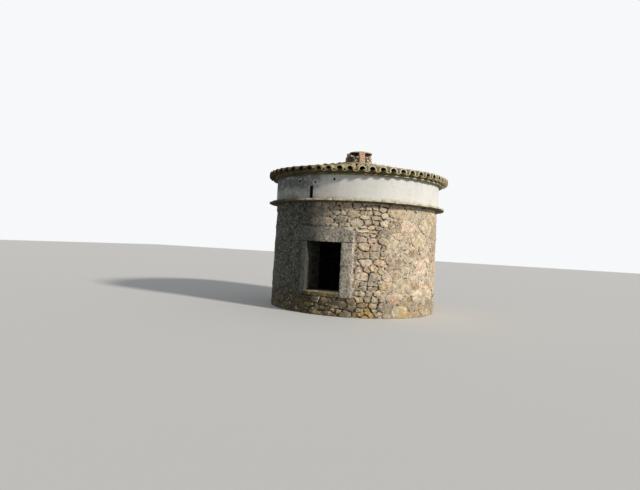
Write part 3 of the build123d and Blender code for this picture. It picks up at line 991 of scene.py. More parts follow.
def rubble_material(name):
    """Granite rubble: cream, ochre, pink and grey stones, stained, smeared with mortar, with
    painted shade in pocks and pits and on the left side.
    """
    settings = bpy.context.scene.dovecote.rubble
    t = Finish(name, 0.86)
    vector = t.place()
    tone, shade, drift, inward = t.stored("stone")
    stops = [(0.0, settings.stone_grey), (0.16, settings.stone_ochre),
             (0.34, settings.stone_pale), (0.56, settings.stone_pink),
             (0.74, settings.stone_pale), (0.90, settings.stone_ochre),
             (1.0, settings.stone_pink)]
    # Each stone has its own part of the patterns
    far = t.add("ShaderNodeCombineXYZ", {"X": t.times(drift, 37.0), "Y": t.times(drift, 91.0)})
    slide = t.add("ShaderNodeVectorMath", {0: vector, 1: far.outputs[0]}, operation="ADD")
    own = slide.outputs[0]
    light = t.ramp(shade, 0.0, 1.0, 0.70, 1.26)
    mottled = t.ramp(t.noise(own, 11.0, detail=9.0, rough=0.78), 0.36, 0.63, 0.46, 1.26)
    colour = t.tinted(t.colours(tone, stops), t.times(light, mottled))
    colour = t.coat(colour, patches(t, own, 7.0, 0.42, 0.06), 0.50, settings.stone_ochre)
    colour = t.coat(colour, patches(t, vector, 9.0, 0.36, 0.06), 0.42, BROWN_STAIN)
    colour = t.coat(colour, patches(t, vector, 8.0, 0.40, 0.05), 0.60, LIME_FILM)
    colour, grain = speckled(t, own, colour, 46.0, 0.45)
    # Painted shade in small pocks over the stones, which also dent the relief
    pock_shade = t.ramp(t.noise(own, 19.0, detail=8.0, rough=0.78), 0.580, 0.680)
    colour = t.coat(colour, pock_shade, 0.78, POCK_SHADE)
    colour = t.coat(colour, patches(t, vector, 3.6, 0.30, 0.10), 0.26, DARK_STAIN)
    # Paler and yellower high on the wall, under the string course, right of the doorway
    azimuth = azimuth_of(t, vector)
    high = t.times(t.ramp(t.part(vector, "Z"), 2.12, 2.34), t.sweep(azimuth, 4.0, 18.0))
    high = t.times(high, t.sweep(azimuth, 80.0, 60.0))
    high_mottle = t.noise(own, 12.0, detail=6.0, rough=0.7)
    high = t.times(high, t.ramp(high_mottle, 0.36, 0.56, 0.45, 1.0))
    colour = t.coat(colour, high, 0.38, HIGH_PALE)
    colour = t.coat(colour, lichen(t, own, 26.0, 0.48), 0.45, STONE_LICHEN)
    # Painted shade on the left side, with some damp weathering, and paler specks in it
    painted_shade = painted_shade_side(t, vector, -2.0)
    painted_shade_strength = t.ramp(t.noise(own, 20.0, detail=7.0, rough=0.80), 0.40, 0.60, 0.99, 0.80)
    colour = t.coat(colour, painted_shade, painted_shade_strength, settings.shade)
    specks = t.ramp(t.noise(own, 17.0, detail=4.0, rough=0.62), 0.53, 0.60)
    colour = t.coat(colour, t.times(specks, painted_shade), 0.85, PAINTED_SHADE_SPECK)
    # Mortar smeared over the stones' edges, and painted shade in pits washed out along them
    broad_rag = t.noise(vector, 5.5, detail=3.0, rough=0.5)
    fine_rag = t.noise(vector, 17.0, detail=5.0, rough=0.65)
    ragged = t.math("MULTIPLY_ADD", broad_rag, 1.5,
                    t.math("MULTIPLY_ADD", fine_rag, 0.9, -1.20))
    smear = t.ramp(t.plus(inward, ragged), 0.18, 0.06)
    patchy = t.ramp(t.noise(vector, 2.4, detail=3.0), 0.34, 0.52, 0.30, 0.86)
    colour = t.blend(t.times(smear, patchy), colour, mortar_colour(t, vector))
    colour = foot_weathering(t, vector, colour)
    pit_shade_on_edges = t.times(pit_shade(t, vector), t.ramp(inward, 0.20, 0.06))
    colour = t.coat(colour, pit_shade_on_edges, 0.88, STONE_PIT_SHADE)
    hewn = t.times(t.noise(own, 9.0, detail=6.0, rough=0.62), 2.4)
    relief = t.minus(t.plus(grain, hewn), t.times(pock_shade, 0.7))
    return t.done(colour, t.minus(relief, pit_shade_on_edges), 0.9, 0.024)


# Width and height of the stones inside the tower, as cells over a radian and a metre
INNER_CELLS = (5.2, 1.0, 6.2)
# The stones inside the tower are painted very dark: painted shade inside it
INNER_DARK = (0.085, 0.075, 0.06)
INNER_PALE = (0.15, 0.12, 0.085)
INNER_SHADE_BLOTCH = (0.05, 0.042, 0.034)
INNER_JOINT = (0.17, 0.145, 0.115)
MORTAR_PIT_SHADE = (0.040, 0.032, 0.024)


def wall_material(name):
    """Lime mortar on the outside of the wall, coursed rubble painted very dark on its inner faces
    as painted shade inside the tower.
    """
    t = Finish(name, 0.92)
    vector = t.place()
    fine = t.noise(vector, 40.0, detail=5.0, rough=0.7)
    broad = t.noise(vector, 5.0, detail=5.0, rough=0.6)
    pit_shade_mask = pit_shade(t, vector)
    stretch = t.add("ShaderNodeMapping", {"Vector": polar(t, vector), "Scale": INNER_CELLS})
    cells = t.cells(stretch.outputs[0], 1.0, "DISTANCE_TO_EDGE").outputs["Distance"]
    tint = t.cells(stretch.outputs[0], 1.0).outputs["Color"]
    tone = t.add("ShaderNodeSeparateColor", {0: tint}).outputs[0]
    # Dark inner stones, blotched and jointed, as painted shade inside the tower
    stones = t.blend(t.ramp(tone, 0.2, 0.8), INNER_DARK, INNER_PALE)
    stones = t.coat(stones, t.noise(vector, 24.0, detail=5.0), 0.8, INNER_SHADE_BLOTCH)
    inner = t.coat(stones, t.ramp(cells, 0.09, 0.03), 0.7, INNER_JOINT)
    outside = t.ramp(distance_of(t, vector), 1.98, 2.0)
    colour = foot_weathering(t, vector, t.blend(outside, inner, mortar_colour(t, vector)))
    # Painted shade in the pits of the mortar
    colour = t.coat(colour, t.times(pit_shade_mask, outside), 0.92, MORTAR_PIT_SHADE)
    relief = t.minus(t.plus(fine, broad), t.times(pit_shade_mask, 1.6))
    inner_relief = t.plus(t.times(fine, 0.5), t.ramp(cells, 0.02, 0.20))
    mixed = t.add("ShaderNodeMix", {0: outside, 2: inner_relief, 3: relief}, data_type="FLOAT")
    return t.done(colour, mixed.outputs[0], 0.8, 0.012)


GRANITE_LOW = (0.58, 0.51, 0.41)
GRANITE_HIGH = (0.84, 0.74, 0.60)
GRANITE_STAIN = (0.13, 0.115, 0.095)
GRANITE_LICHEN = (0.82, 0.78, 0.66)


def granite_finish(t, vector):
    """The grey cream, coarsely speckled colour of dressed granite, and its relief."""
    settings = bpy.context.scene.dovecote.rubble
    broad = t.noise(vector, 4.0, detail=6.0, rough=0.65)
    base = t.blend(t.ramp(broad, 0.35, 0.65), GRANITE_LOW, GRANITE_HIGH)
    coarse = t.ramp(t.noise(vector, 25.0, detail=8.0, rough=0.74), 0.38, 0.62, 0.30, 1.46)
    colour, grain = speckled(t, vector, t.tinted(base, coarse), 75.0, 0.60)
    colour = t.coat(colour, patches(t, vector, 8.0, 0.44, 0.08), 0.40, GRANITE_STAIN)
    colour = t.coat(colour, lichen(t, vector, 30.0, 0.52), 0.55, GRANITE_LICHEN)
    # Painted shade over the doorway's left side, with some damp weathering
    painted_shade_strength = t.ramp(t.noise(vector, 24.0, detail=7.0, rough=0.80), 0.38, 0.62, 0.99, 0.80)
    colour = t.coat(colour, painted_shade_side(t, vector, 0.0), painted_shade_strength, settings.shade)
    return colour, t.plus(grain, coarse)


def granite_material(name):
    """Dressed granite of the doorway."""
    t = Finish(name, 0.84)
    colour, relief = granite_finish(t, t.place())
    return t.done(colour, relief, 0.7, 0.010)


SILL_MOSS = (0.10, 0.095, 0.035)
SILL_GOLD = (0.58, 0.34, 0.06)
SILL_WORN = (0.82, 0.75, 0.56)
SILL_PAINTED_SHADE = (0.06, 0.058, 0.04)


def sill_material(name):
    """Granite of the sill: worn pale on top, moss and gold lichen down its front."""
    t = Finish(name, 0.86)
    vector = t.place()
    colour, relief = granite_finish(t, vector)
    colour = t.coat(colour, patches(t, vector, 7.0, 0.62, 0.07), 0.84, SILL_MOSS)
    colour = t.coat(colour, patches(t, vector, 11.0, 0.44, 0.05), 0.84, SILL_GOLD)
    worn = t.ramp(t.noise(vector, 14.0, detail=4.0), 0.30, 0.50)
    colour = t.coat(colour, t.times(t.ramp(t.facing(), 0.35, 0.70), worn), 0.85, SILL_WORN)
    # Painted shade on the left side, with some damp weathering
    colour = t.coat(colour, painted_shade_side(t, vector, -11.0), 0.90, SILL_PAINTED_SHADE)
    return t.done(colour, relief, 0.7, 0.010)


SLAB_PALE = (0.56, 0.49, 0.34)
SLAB_UNDER_SHADE = (0.060, 0.045, 0.025)
SLAB_MOSS = (0.20, 0.17, 0.06)
SLAB_LICHEN = (0.66, 0.50, 0.20)
SLAB_PAINTED_SHADE = (0.075, 0.064, 0.040)


def slab_material(name):
    """Thin split slabs: olive buff on top, pale broken edges, painted shade underneath and on the
    left side, with some damp weathering.
    """
    settings = bpy.context.scene.dovecote.slabs
    t = Finish(name, 0.9)
    vector = t.place()
    broad = t.noise(vector, 5.5, detail=6.0, rough=0.6)
    colour = t.blend(t.ramp(broad, 0.35, 0.65), settings.stone, SLAB_PALE)
    facing = t.facing()
    upright = t.ramp(t.math("ABSOLUTE", facing), 0.75, 0.35)
    worn = t.ramp(t.noise(vector, 9.0, detail=5.0, rough=0.65), 0.34, 0.50)
    colour = t.coat(colour, t.times(upright, worn), 0.92, settings.edge)
    colour, grain = speckled(t, vector, colour, 55.0, 0.40)
    # Painted shade on the slabs' undersides
    under = t.ramp(t.plus(facing, t.times(broad, 0.25)), -0.15, -0.55)
    colour = t.coat(colour, under, 0.90, SLAB_UNDER_SHADE)
    colour = t.coat(colour, patches(t, vector, 7.0, 0.42, 0.06), 0.6, SLAB_MOSS)
    colour = t.coat(colour, lichen(t, vector, 24.0, 0.46), 0.6, SLAB_LICHEN)
    # Painted shade on the left side, with some damp weathering
    colour = t.coat(colour, painted_shade_side(t, vector, -19.0), 0.96, SLAB_PAINTED_SHADE)
    return t.done(colour, grain, 0.7, 0.010)


EAVE_SLAB_SHADE_DARK = (0.14, 0.115, 0.055)
EAVE_SLAB_SHADE_PALE = (0.30, 0.255, 0.135)
EAVE_SLAB_LIME = (0.74, 0.66, 0.46)
EAVE_SLAB_MOSS = (0.17, 0.165, 0.05)
EAVE_SLAB_PAINTED_SHADE = (0.060, 0.050, 0.028)


def eave_slab_material(name):
    """The slabs under the eave: olive brown, darker than the string course as painted shade under
    the tiles, mossy all over, limed to the right, with painted shade on the left side.
    """
    t = Finish(name, 0.92)
    vector = t.place()
    # Darker than the string course's slabs: painted shade under the eave tiles
    broad = t.noise(vector, 6.0, detail=6.0, rough=0.65)
    colour = t.blend(t.ramp(broad, 0.32, 0.66), EAVE_SLAB_SHADE_DARK, EAVE_SLAB_SHADE_PALE)
    upright = t.ramp(t.math("ABSOLUTE", t.facing()), 0.70, 0.30)
    limed = t.times(upright, t.sweep(azimuth_of(t, vector), 28.0, 48.0))
    limed = t.times(limed, patches(t, vector, 10.0, 0.56, 0.06))
    colour = t.coat(colour, limed, 0.8, EAVE_SLAB_LIME)
    colour, grain = speckled(t, vector, colour, 60.0, 0.30)
    colour = t.coat(colour, patches(t, vector, 9.0, 0.42, 0.06), 0.6, EAVE_SLAB_MOSS)
    # Painted shade on the left side, with some damp weathering
    colour = t.coat(colour, painted_shade_side(t, vector, -6.0), 0.78, EAVE_SLAB_PAINTED_SHADE)
    return t.done(colour, grain, 0.7, 0.010)


# Materials: plaster


def hole_rims(t, vector, colour, settings):
    """Pale plaster rims and dark stains round two of the small holes."""
    for azimuth, lift in RIMMED_HOLES:
        middle = tuple(around(azimuth, BAND_R, LEDGE_TOP_Z + lift))
        away = t.add("ShaderNodeVectorMath", {0: vector, 1: middle}, operation="DISTANCE")
        ragged = t.noise(vector, 16.0, detail=4.0, rough=0.6)
        away = t.plus(away.outputs["Value"], t.math("MULTIPLY_ADD", ragged, 0.06, -0.03))
        blotched = t.ramp(t.noise(vector, 8.0, detail=5.0), 0.38, 0.60)
        stain = t.times(t.ramp(away, 0.19, 0.10), blotched)
        colour = t.coat(colour, stain, 0.60, settings.grime)
        rim = t.times(t.ramp(away, 0.084, 0.066), t.ramp(away, 0.032, 0.046))
        broken = t.ramp(t.noise(vector, 13.0, detail=4.0, rough=0.7), 0.42, 0.56)
        colour = t.coat(colour, t.times(rim, broken), 0.62, settings.lime)
    return colour


PLASTER_CREAM = (0.84, 0.82, 0.77)
PLASTER_BARE = (0.60, 0.57, 0.50)
PLASTER_PAINTED_SHADE = (0.30, 0.32, 0.29)
PLASTER_SHADE_BLOTCH = (0.13, 0.145, 0.14)
PLASTER_DOT = (0.22, 0.22, 0.19)
PLASTER_FOOT = (0.40, 0.33, 0.20)
PLASTER_REVEAL_SHADE = (0.075, 0.068, 0.055)
# How much a pattern is drawn out down the wall for streaks
STREAK_SCALE = (12.0, 12.0, 2.2)


def plaster_material(name):
    """Limewashed plaster: white to the right, with painted shade, mottled grey and green and
    blotched high up, towards the left side.
    """
    settings = bpy.context.scene.dovecote.plaster
    t = Finish(name, 0.88)
    vector = t.place()
    z = t.part(vector, "Z")
    broad = t.noise(vector, 3.0, detail=6.0, rough=0.6)
    colour = t.blend(t.ramp(broad, 0.34, 0.56), PLASTER_CREAM, settings.lime)
    colour = t.coat(colour, patches(t, vector, 2.6, 0.36, 0.10), 0.10, PLASTER_BARE)
    down = t.add("ShaderNodeMapping", {"Vector": vector, "Scale": STREAK_SCALE}).outputs[0]
    streaks = t.ramp(t.noise(down, 1.0, detail=5.0, rough=0.65), 0.50, 0.72)
    colour = t.coat(colour, t.times(streaks, t.ramp(z, 2.88, 3.16)), 0.32, settings.grime)
    # Painted shade on the left side, with some damp weathering, and darker blotches of painted
    # shade high up in it
    painted_shade = painted_shade_side(t, vector, -7.0)
    painted_shade_strength = t.ramp(t.noise(vector, 5.0, detail=6.0, rough=0.68), 0.32, 0.62, 0.30, 0.85)
    colour = t.coat(colour, painted_shade, painted_shade_strength, PLASTER_PAINTED_SHADE)
    shade_blotches = t.times(patches(t, vector, 6.5, 0.58, 0.05), t.ramp(z, 2.76, 2.96))
    colour = t.coat(colour, t.times(shade_blotches, painted_shade), 0.85, PLASTER_SHADE_BLOTCH)
    dots = t.times(t.ramp(t.noise(vector, 22.0, detail=5.0, rough=0.75), 0.585, 0.65), 0.60)
    colour = t.coat(colour, dots, t.most(patches(t, vector, 2.0, 0.46, 0.08), painted_shade), PLASTER_DOT)
    foot = t.times(t.ramp(z, 2.71, 2.64), patches(t, vector, 8.0, 0.52, 0.10))
    colour = t.coat(colour, foot, 0.55, PLASTER_FOOT)
    colour = hole_rims(t, vector, colour, settings)
    # Painted shade where the plaster turns in, inside the slot and the holes
    colour = t.blend(t.ramp(distance_of(t, vector), 2.090, 2.070), colour, PLASTER_REVEAL_SHADE)
    rough = t.noise(vector, 18.0, detail=6.0, rough=0.6)
    waves = t.noise(vector, 2.2, detail=2.0)
    return t.done(colour, t.plus(t.times(rough, 0.35), t.times(waves, 1.0)), 0.8, 0.016)


# Materials: roof, lantern and timbers

CLAY_PALE = (0.56, 0.36, 0.22)
TILE_CRUST_OLIVE = (0.36, 0.32, 0.11)
TILE_CRUST_STRAW = (0.62, 0.48, 0.20)
TILE_LICHEN = (0.70, 0.64, 0.46)
EAVE_PAINTED_SHADE = (0.060, 0.047, 0.028)
TILE_INSIDE_SHADE = (0.050, 0.034, 0.022)


def tile_material(name):
    """Old clay tiles: brown, with pale rims and straw and olive crust, painted shade on the left
    side and deep inside the hollows.
    """
    settings = bpy.context.scene.dovecote.tiles
    t = Finish(name, 0.88)
    vector = t.place()
    tone, rim, inside, _ = t.stored("tile")
    clay = t.blend(t.ramp(tone, 0.1, 0.9), settings.clay, CLAY_PALE)
    broad = t.ramp(t.noise(vector, 7.0, detail=6.0, rough=0.65), 0.32, 0.68, 0.60, 1.22)
    colour = t.tinted(clay, broad)
    straw = t.ramp(t.noise(vector, 2.3, detail=4.0), 0.38, 0.62)
    crust = t.blend(straw, TILE_CRUST_OLIVE, TILE_CRUST_STRAW)
    colour = t.coat(colour, patches(t, vector, 4.0, 0.58, 0.07), 0.80, crust)
    colour = t.coat(colour, lichen(t, vector, 30.0, 0.54), 0.65, TILE_LICHEN)
    # Painted shade on the left side, with some damp weathering; it also takes the pale dust off the
    # rims there
    painted_shade = painted_shade_side(t, vector, -3.0)
    dusted = t.times(rim, t.ramp(t.noise(vector, 12.0, detail=5.0, rough=0.65), 0.30, 0.52))
    dusted = t.times(dusted, t.minus(1.0, t.times(painted_shade, 0.9)))
    dusted = t.times(dusted, t.sweep(azimuth_of(t, vector), 0.0, 36.0, 0.44, 1.0))
    colour = t.coat(colour, dusted, 0.95, settings.rim)
    colour = t.coat(colour, painted_shade, 0.93, EAVE_PAINTED_SHADE)
    # Painted shade deep inside the tiles' hollows
    colour = t.coat(colour, inside, 0.88, TILE_INSIDE_SHADE)
    return t.done(colour, t.noise(vector, 50.0, detail=4.0, rough=0.6), 0.6, 0.005)


CRUST_STOPS = [
    (0.0, (0.22, 0.20, 0.07)),
    (0.35, (0.52, 0.44, 0.17)),
    (0.6, (0.66, 0.54, 0.27)),
    (0.8, (0.60, 0.37, 0.20)),
    (1.0, (0.42, 0.40, 0.15)),
]
CRUST_EDGE = (0.15, 0.13, 0.06)


def crust_material(name):
    """Soil and dry crust that has settled between the tiles."""
    t = Finish(name, 0.95)
    vector = t.place()
    broad = t.noise(vector, 4.0, detail=6.0, rough=0.62)
    fine = t.noise(vector, 60.0, detail=5.0, rough=0.7)
    colour = t.tinted(t.colours(t.ramp(broad, 0.30, 0.70), CRUST_STOPS),
                      t.ramp(fine, 0.3, 0.7, 0.6, 1.25))
    colour = t.coat(colour, t.ramp(distance_of(t, vector), 2.10, 2.16), 0.75, CRUST_EDGE)
    return t.done(colour, fine, 0.9, 0.012)


PLUG_DARK = (0.50, 0.43, 0.28)
PLUG_PALE = (0.80, 0.71, 0.52)
PLUG_MOSS = (0.20, 0.18, 0.07)


def eave_mortar_material(name):
    """Cream mortar between the eave tiles, mossy, with painted shade on the left side and some damp
    weathering.
    """
    t = Finish(name, 0.92)
    vector = t.place()
    fine = t.noise(vector, 40.0, detail=5.0, rough=0.7)
    colour = t.blend(t.ramp(fine, 0.35, 0.65), PLUG_DARK, PLUG_PALE)
    colour = t.coat(colour, patches(t, vector, 9.0, 0.44, 0.06), 0.6, PLUG_MOSS)
    # Painted shade on the left side, with some damp weathering
    colour = t.coat(colour, painted_shade_side(t, vector, 10.0), 0.88, EAVE_PAINTED_SHADE)
    return t.done(colour, fine, 0.8, 0.010)


BRICK_DARK = (0.64, 0.30, 0.18)
BRICK_PALE = (0.84, 0.48, 0.32)
BRICK_DUST = (0.82, 0.66, 0.46)
BRICK_STAIN = (0.22, 0.15, 0.10)


def brick_material(name):
    """Pinkish orange fired clay with lime dust."""
    t = Finish(name, 0.85)
    vector = t.place()
    broad = t.noise(vector, 12.0, detail=6.0, rough=0.65)
    colour = t.blend(t.ramp(broad, 0.3, 0.7), BRICK_DARK, BRICK_PALE)
    colour = t.coat(colour, patches(t, vector, 14.0, 0.46, 0.08), 0.60, BRICK_DUST)
    colour = t.coat(colour, patches(t, vector, 7.0, 0.36, 0.08), 0.45, BRICK_STAIN)
    return t.done(colour, t.noise(vector, 70.0, detail=4.0), 0.6, 0.004)


TIMBER_DARK = (0.09, 0.060, 0.036)
TIMBER_PALE = (0.24, 0.17, 0.105)
TIMBER_DUST = (0.30, 0.26, 0.20)
# How much finer the grain is across the timbers than along them
TIMBER_GRAIN = (90.0, 3.0, 60.0)


def timber_material(name):
    """Rough sawn dark timber, its grain running out from the tower's axis."""
    t = Finish(name, 0.8)
    vector = t.place()
    drawn = t.add("ShaderNodeMapping", {"Vector": polar(t, vector), "Scale": TIMBER_GRAIN})
    grain = t.noise(drawn.outputs[0], 1.0, detail=5.0, rough=0.6)
    colour = t.blend(t.ramp(grain, 0.3, 0.7), TIMBER_DARK, TIMBER_PALE)
    colour = t.coat(colour, patches(t, vector, 3.0, 0.45, 0.10), 0.35, TIMBER_DUST)
    return t.done(colour, grain, 0.6, 0.004)


MAKERS = {
    "rubble_stone": rubble_material,
    "lime_mortar": wall_material,
    "dressed_granite": granite_material,
    "mossy_sill": sill_material,
    "split_slab": slab_material,
    "eave_slab": eave_slab_material,
    "limewashed_plaster": plaster_material,
    "clay_tile": tile_material,
    "roof_crust": crust_material,
    "eave_mortar": eave_mortar_material,
    "fired_brick": brick_material,
    "rough_timber": timber_material,
}
MATERIALS = {}


def material(name):
    """A material by its name, built when first asked for."""
    if name not in MATERIALS:
        MATERIALS[name] = MAKERS[name](name)
    return MATERIALS[name]


def dress(node, name):
    """Gives a carried over part its material on its own slots."""
    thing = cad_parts[node]
    if not thing.material_slots:
        thing.data.materials.append(material(name))
    for slot in thing.material_slots:
        slot.link = "OBJECT"
        slot.material = material(name)


# Doorway

# How far a dressed face lies inside the solid's, how much its arrises are rounded, and the
# sizes of its cells, of its broad hollows and of its tool marks
DRESSED_GAP = 0.004
DRESSED_ARRIS = 0.012
DRESSED_CELL = 0.06
HOLLOW_SIZE = 0.16
MARK_SIZE = 0.045
MARK_SHARE = 0.45
# The doorway's stones: node, piece, finish and seed of their roughness
DRESSED_STONES = [
    ("sill_stone", "sill_slab", "mossy_sill", 2.0),
    ("jamb_left", "jamb_left_stone", "dressed_granite", 5.0),
    ("jamb_right", "jamb_right_stone", "dressed_granite", 9.0),
    ("inner_lintel", "inner_lintel_stone", "dressed_granite", 17.0),
]


def rough_block(box, depth, seed, trims=()):
    """A roughly dressed stone just inside a box, with corners trimmed by planes."""
    inset = Vector((DRESSED_GAP, DRESSED_GAP, DRESSED_GAP))
    (x0, y0, z0), (x1, y1, z1) = box[0] + inset, box[1] - inset
    bm = cube(x0, x1, y0, y1, z0, z1, DRESSED_CELL)
    for at, normal in trims:
        cut = slice_by(bm, at, normal, clear_outer=True)
        rim = [g for g in cut["geom_cut"] if isinstance(g, bmesh.types.BMEdge)]
        bmesh.ops.holes_fill(bm, edges=rim, sides=0)
    bmesh.ops.dissolve_degenerate(bm, dist=1e-4, edges=bm.edges)
    soften(bm, DRESSED_ARRIS)
    roughen(bm.verts, HOLLOW_SIZE, depth, seed)
    roughen(bm.verts, MARK_SIZE, depth * MARK_SHARE, seed + 5)
    return bm


def build_doorway():
    """The sill, the jambs and the two lintels."""
    for node, name, finish, seed in DRESSED_STONES:
        block = rough_block(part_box(node), 0.009, seed)
        piece(name, block, material(finish), (node,))
    low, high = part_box("lintel")
    right = Vector((LINTEL_CUT.y, 0, LINTEL_CUT.x)).normalized()
    left = Vector((low.z - high.z, 0, LINTEL_LEAN)).normalized()
    trims = [(Vector((high.x, 0, high.z - LINTEL_CUT.y)), right), (low.copy(), left)]
    block = rough_block((low, high), 0.010, 13.0, trims)
    piece("lintel_stone", block, material("dressed_granite"), ("lintel",))


def build_band():
    """The plaster of the band."""
    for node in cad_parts:
        if node.startswith("band_"):
            dress(node, "limewashed_plaster")


# Slab courses

# Gap at each end of a slab, rounding of its arrises, and size of the cells it is cut into
SLAB_GAP = 0.004
SLAB_ARRIS = 0.006
SLAB_CELL = 0.055
# Shortest and longest slab over the middle length
SLAB_RANGE = (0.55, 1.45)
# Only the outer part of a slab, past this share of its way out, has a ragged edge
RAGGED_FROM = 0.35


def slab_course(name, outer_r, low, high, settings, replaces, seed, drop, finish):
    """A course of thin uneven slabs laid round the tower, their broken edges out."""
    rng = random.Random(seed)
    lengths = []
    while sum(lengths) < 2 * pi * outer_r:
        lengths.append(settings.length * rng.uniform(*SLAB_RANGE))
    stretch = 2 * pi * outer_r / sum(lengths)
    total = bmesh.new()
    start = rng.uniform(0, 1)
    for length in lengths:
        length *= stretch
        reach = outer_r - rng.uniform(0.0, 1.4) * settings.waver
        bm = cube(SLAB_GAP, length - SLAB_GAP, SLAB_INNER_R, reach, low, high, SLAB_CELL)
        soften(bm, SLAB_ARRIS)
        thin = rng.uniform(0.0, drop)
        lean = rng.uniform(0.0, drop)
        mark = rng.uniform(0, 60)
        for v in bm.verts:
            out = max(0.0, (v.co.y - BAND_R) / (outer_r - BAND_R))
            ragged = noise.noise(Vector((v.co.x * 7.0 + mark, mark, 0))) * settings.waver
            ragged += noise.noise(Vector((v.co.x * 17.0, mark, 4.0))) * settings.waver * 0.8
            if out > RAGGED_FROM:
                v.co.y += min(ragged, outer_r - v.co.y)
            up = (v.co.z - low) / (high - low)
            wave = noise.noise(Vector((v.co.x * 5.0, v.co.y * 5.0, mark))) * 0.5 + 0.5
            from_top = -(thin + drop * 0.6 * wave) * up
            from_below = (lean + drop * 0.5 * wave) * (1 - up)
            v.co.z += out * (from_top + from_below)
        for v in bm.verts:
            v.co = around((start + v.co.x) / outer_r, v.co.y, v.co.z)
        stamp(total, bm)
        start += length
    piece(name, total, material(finish), replaces, sharp=50.0)


def build_courses():
    """The string course and the slabs under the eave."""
    settings = bpy.context.scene.dovecote.slabs
    slab_course("string_course", LEDGE_R, WALL_HEAD_Z, LEDGE_TOP_Z, settings,
                ("ledge_slabs_even", "ledge_slabs_odd"), settings.seed, 0.014, "split_slab")
    slab_course("eave_course", CORNICE_R, CORNICE_LOW_Z, CORNICE_TOP_Z, settings,
                ("cornice_slabs_even", "cornice_slabs_odd"), settings.seed + 1, 0.009,
                "eave_slab")


# Roof tiles

# Half the arc of a cover and of a channel tile, and the faces along it
COVER_ARC = (radians(100), 8)
CHANNEL_ARC = (radians(58), 5)
# How deep the dusted rim of a tile goes, and how dusty it is at its end and behind it
RIM_DEEP = 0.028
RIM_DUST = (1.0, 0.75)
CHANNEL_DUST = 0.42
# Eave tiles are thicker than the others
EAVE_THICKER = 1.3
CHANNEL_TAPER = 0.006
# How far a ring of tiles reaches over the one below
RING_LAP = 0.030


def barrel(radius, thick, half_angle, steps):
    """The end of a half round tile: a ring of faces about the origin, hollow down."""
    bm = gather("tile")
    start = Matrix.Rotation(half_angle, 3, "Y")
    inner = bm.verts.new(start @ Vector((0, 0, radius - thick)))
    outer = bm.verts.new(start @ Vector((0, 0, radius)))
    edge = bm.edges.new((inner, outer))
    bmesh.ops.spin(bm, geom=[inner, outer, edge], cent=(0, 0, 0), axis=(0, 1, 0),
                   angle=-2 * half_angle, steps=steps, use_merge=False)
    return bm


def tile(radius, end_radius, length, thick, arc, tone, hollow_up=False):
    """One tapering tile along +Y from its low end at the origin.

    Its colour layer holds tone, dust of the rim, and painted shade where a corner is deep inside.
    """
    bm = barrel(radius, thick, *arc)
    grown = bmesh.ops.extrude_face_region(bm, geom=bm.faces[:])["geom"]
    far = [g for g in grown if isinstance(g, bmesh.types.BMVert)]
    scale = end_radius / radius
    bmesh.ops.scale(bm, vec=(scale, 1, scale), verts=far)
    bmesh.ops.translate(bm, vec=(0, length, 0), verts=far)
    seam = [e for e in bm.edges if abs(e.verts[0].co.y - e.verts[1].co.y) > length * 0.5]
    bmesh.ops.subdivide_edges(bm, edges=seam, cuts=1)

    def radius_at(y):
        return radius + (end_radius - radius) * y / length

    for v in [v for v in bm.verts if 1e-6 < v.co.y < length - 1e-6]:
        v.co.y = RIM_DEEP
        size = radius_at(v.co.y)
        flat = Vector((v.co.x, v.co.z))
        flat = flat.normalized() * (size - thick if flat.length < size - thick * 0.5 else size)
        v.co.x = flat.x
        v.co.z = flat.y
    store = bm.verts.layers.float_color.get("tile")
    for v in bm.verts:
        inside = hypot(v.co.x, v.co.z) < radius_at(v.co.y) - thick * 0.5
        # Painted shade on the inside of the tile, past its mouth
        deep_shade = 1.0 if inside and v.co.y > 0.02 else 0.0
        rim = RIM_DUST[0] if v.co.y < 0.001 else (RIM_DUST[1] if v.co.y < 0.03 else 0.0)
        rim *= CHANNEL_DUST if hollow_up else 1.0
        v[store] = (tone, rim, deep_shade, 1.0)
    if hollow_up:
        over = Matrix.Rotation(pi, 3, "Y")
        bmesh.ops.rotate(bm, cent=(0, 0, 0), matrix=over, verts=bm.verts)
    return bm


def seat_tile(bm, azimuth, d, rise, roll, twist):
    """Lays a tile on the roof: its low end at a distance from the axis, running up the slope."""
    climb = Matrix.Identity(4)
    climb[2][1] = ROOF_SLOPE
    own = Matrix.Rotation(roll, 4, "Y") @ Matrix.Rotation(twist, 4, "Z")
    place = Matrix.Translation((0, -d, lay(d) + rise))
    turned = Matrix.Rotation(azimuth, 4, "Z")
    bmesh.ops.transform(bm, matrix=turned @ place @ climb @ own, verts=bm.verts)


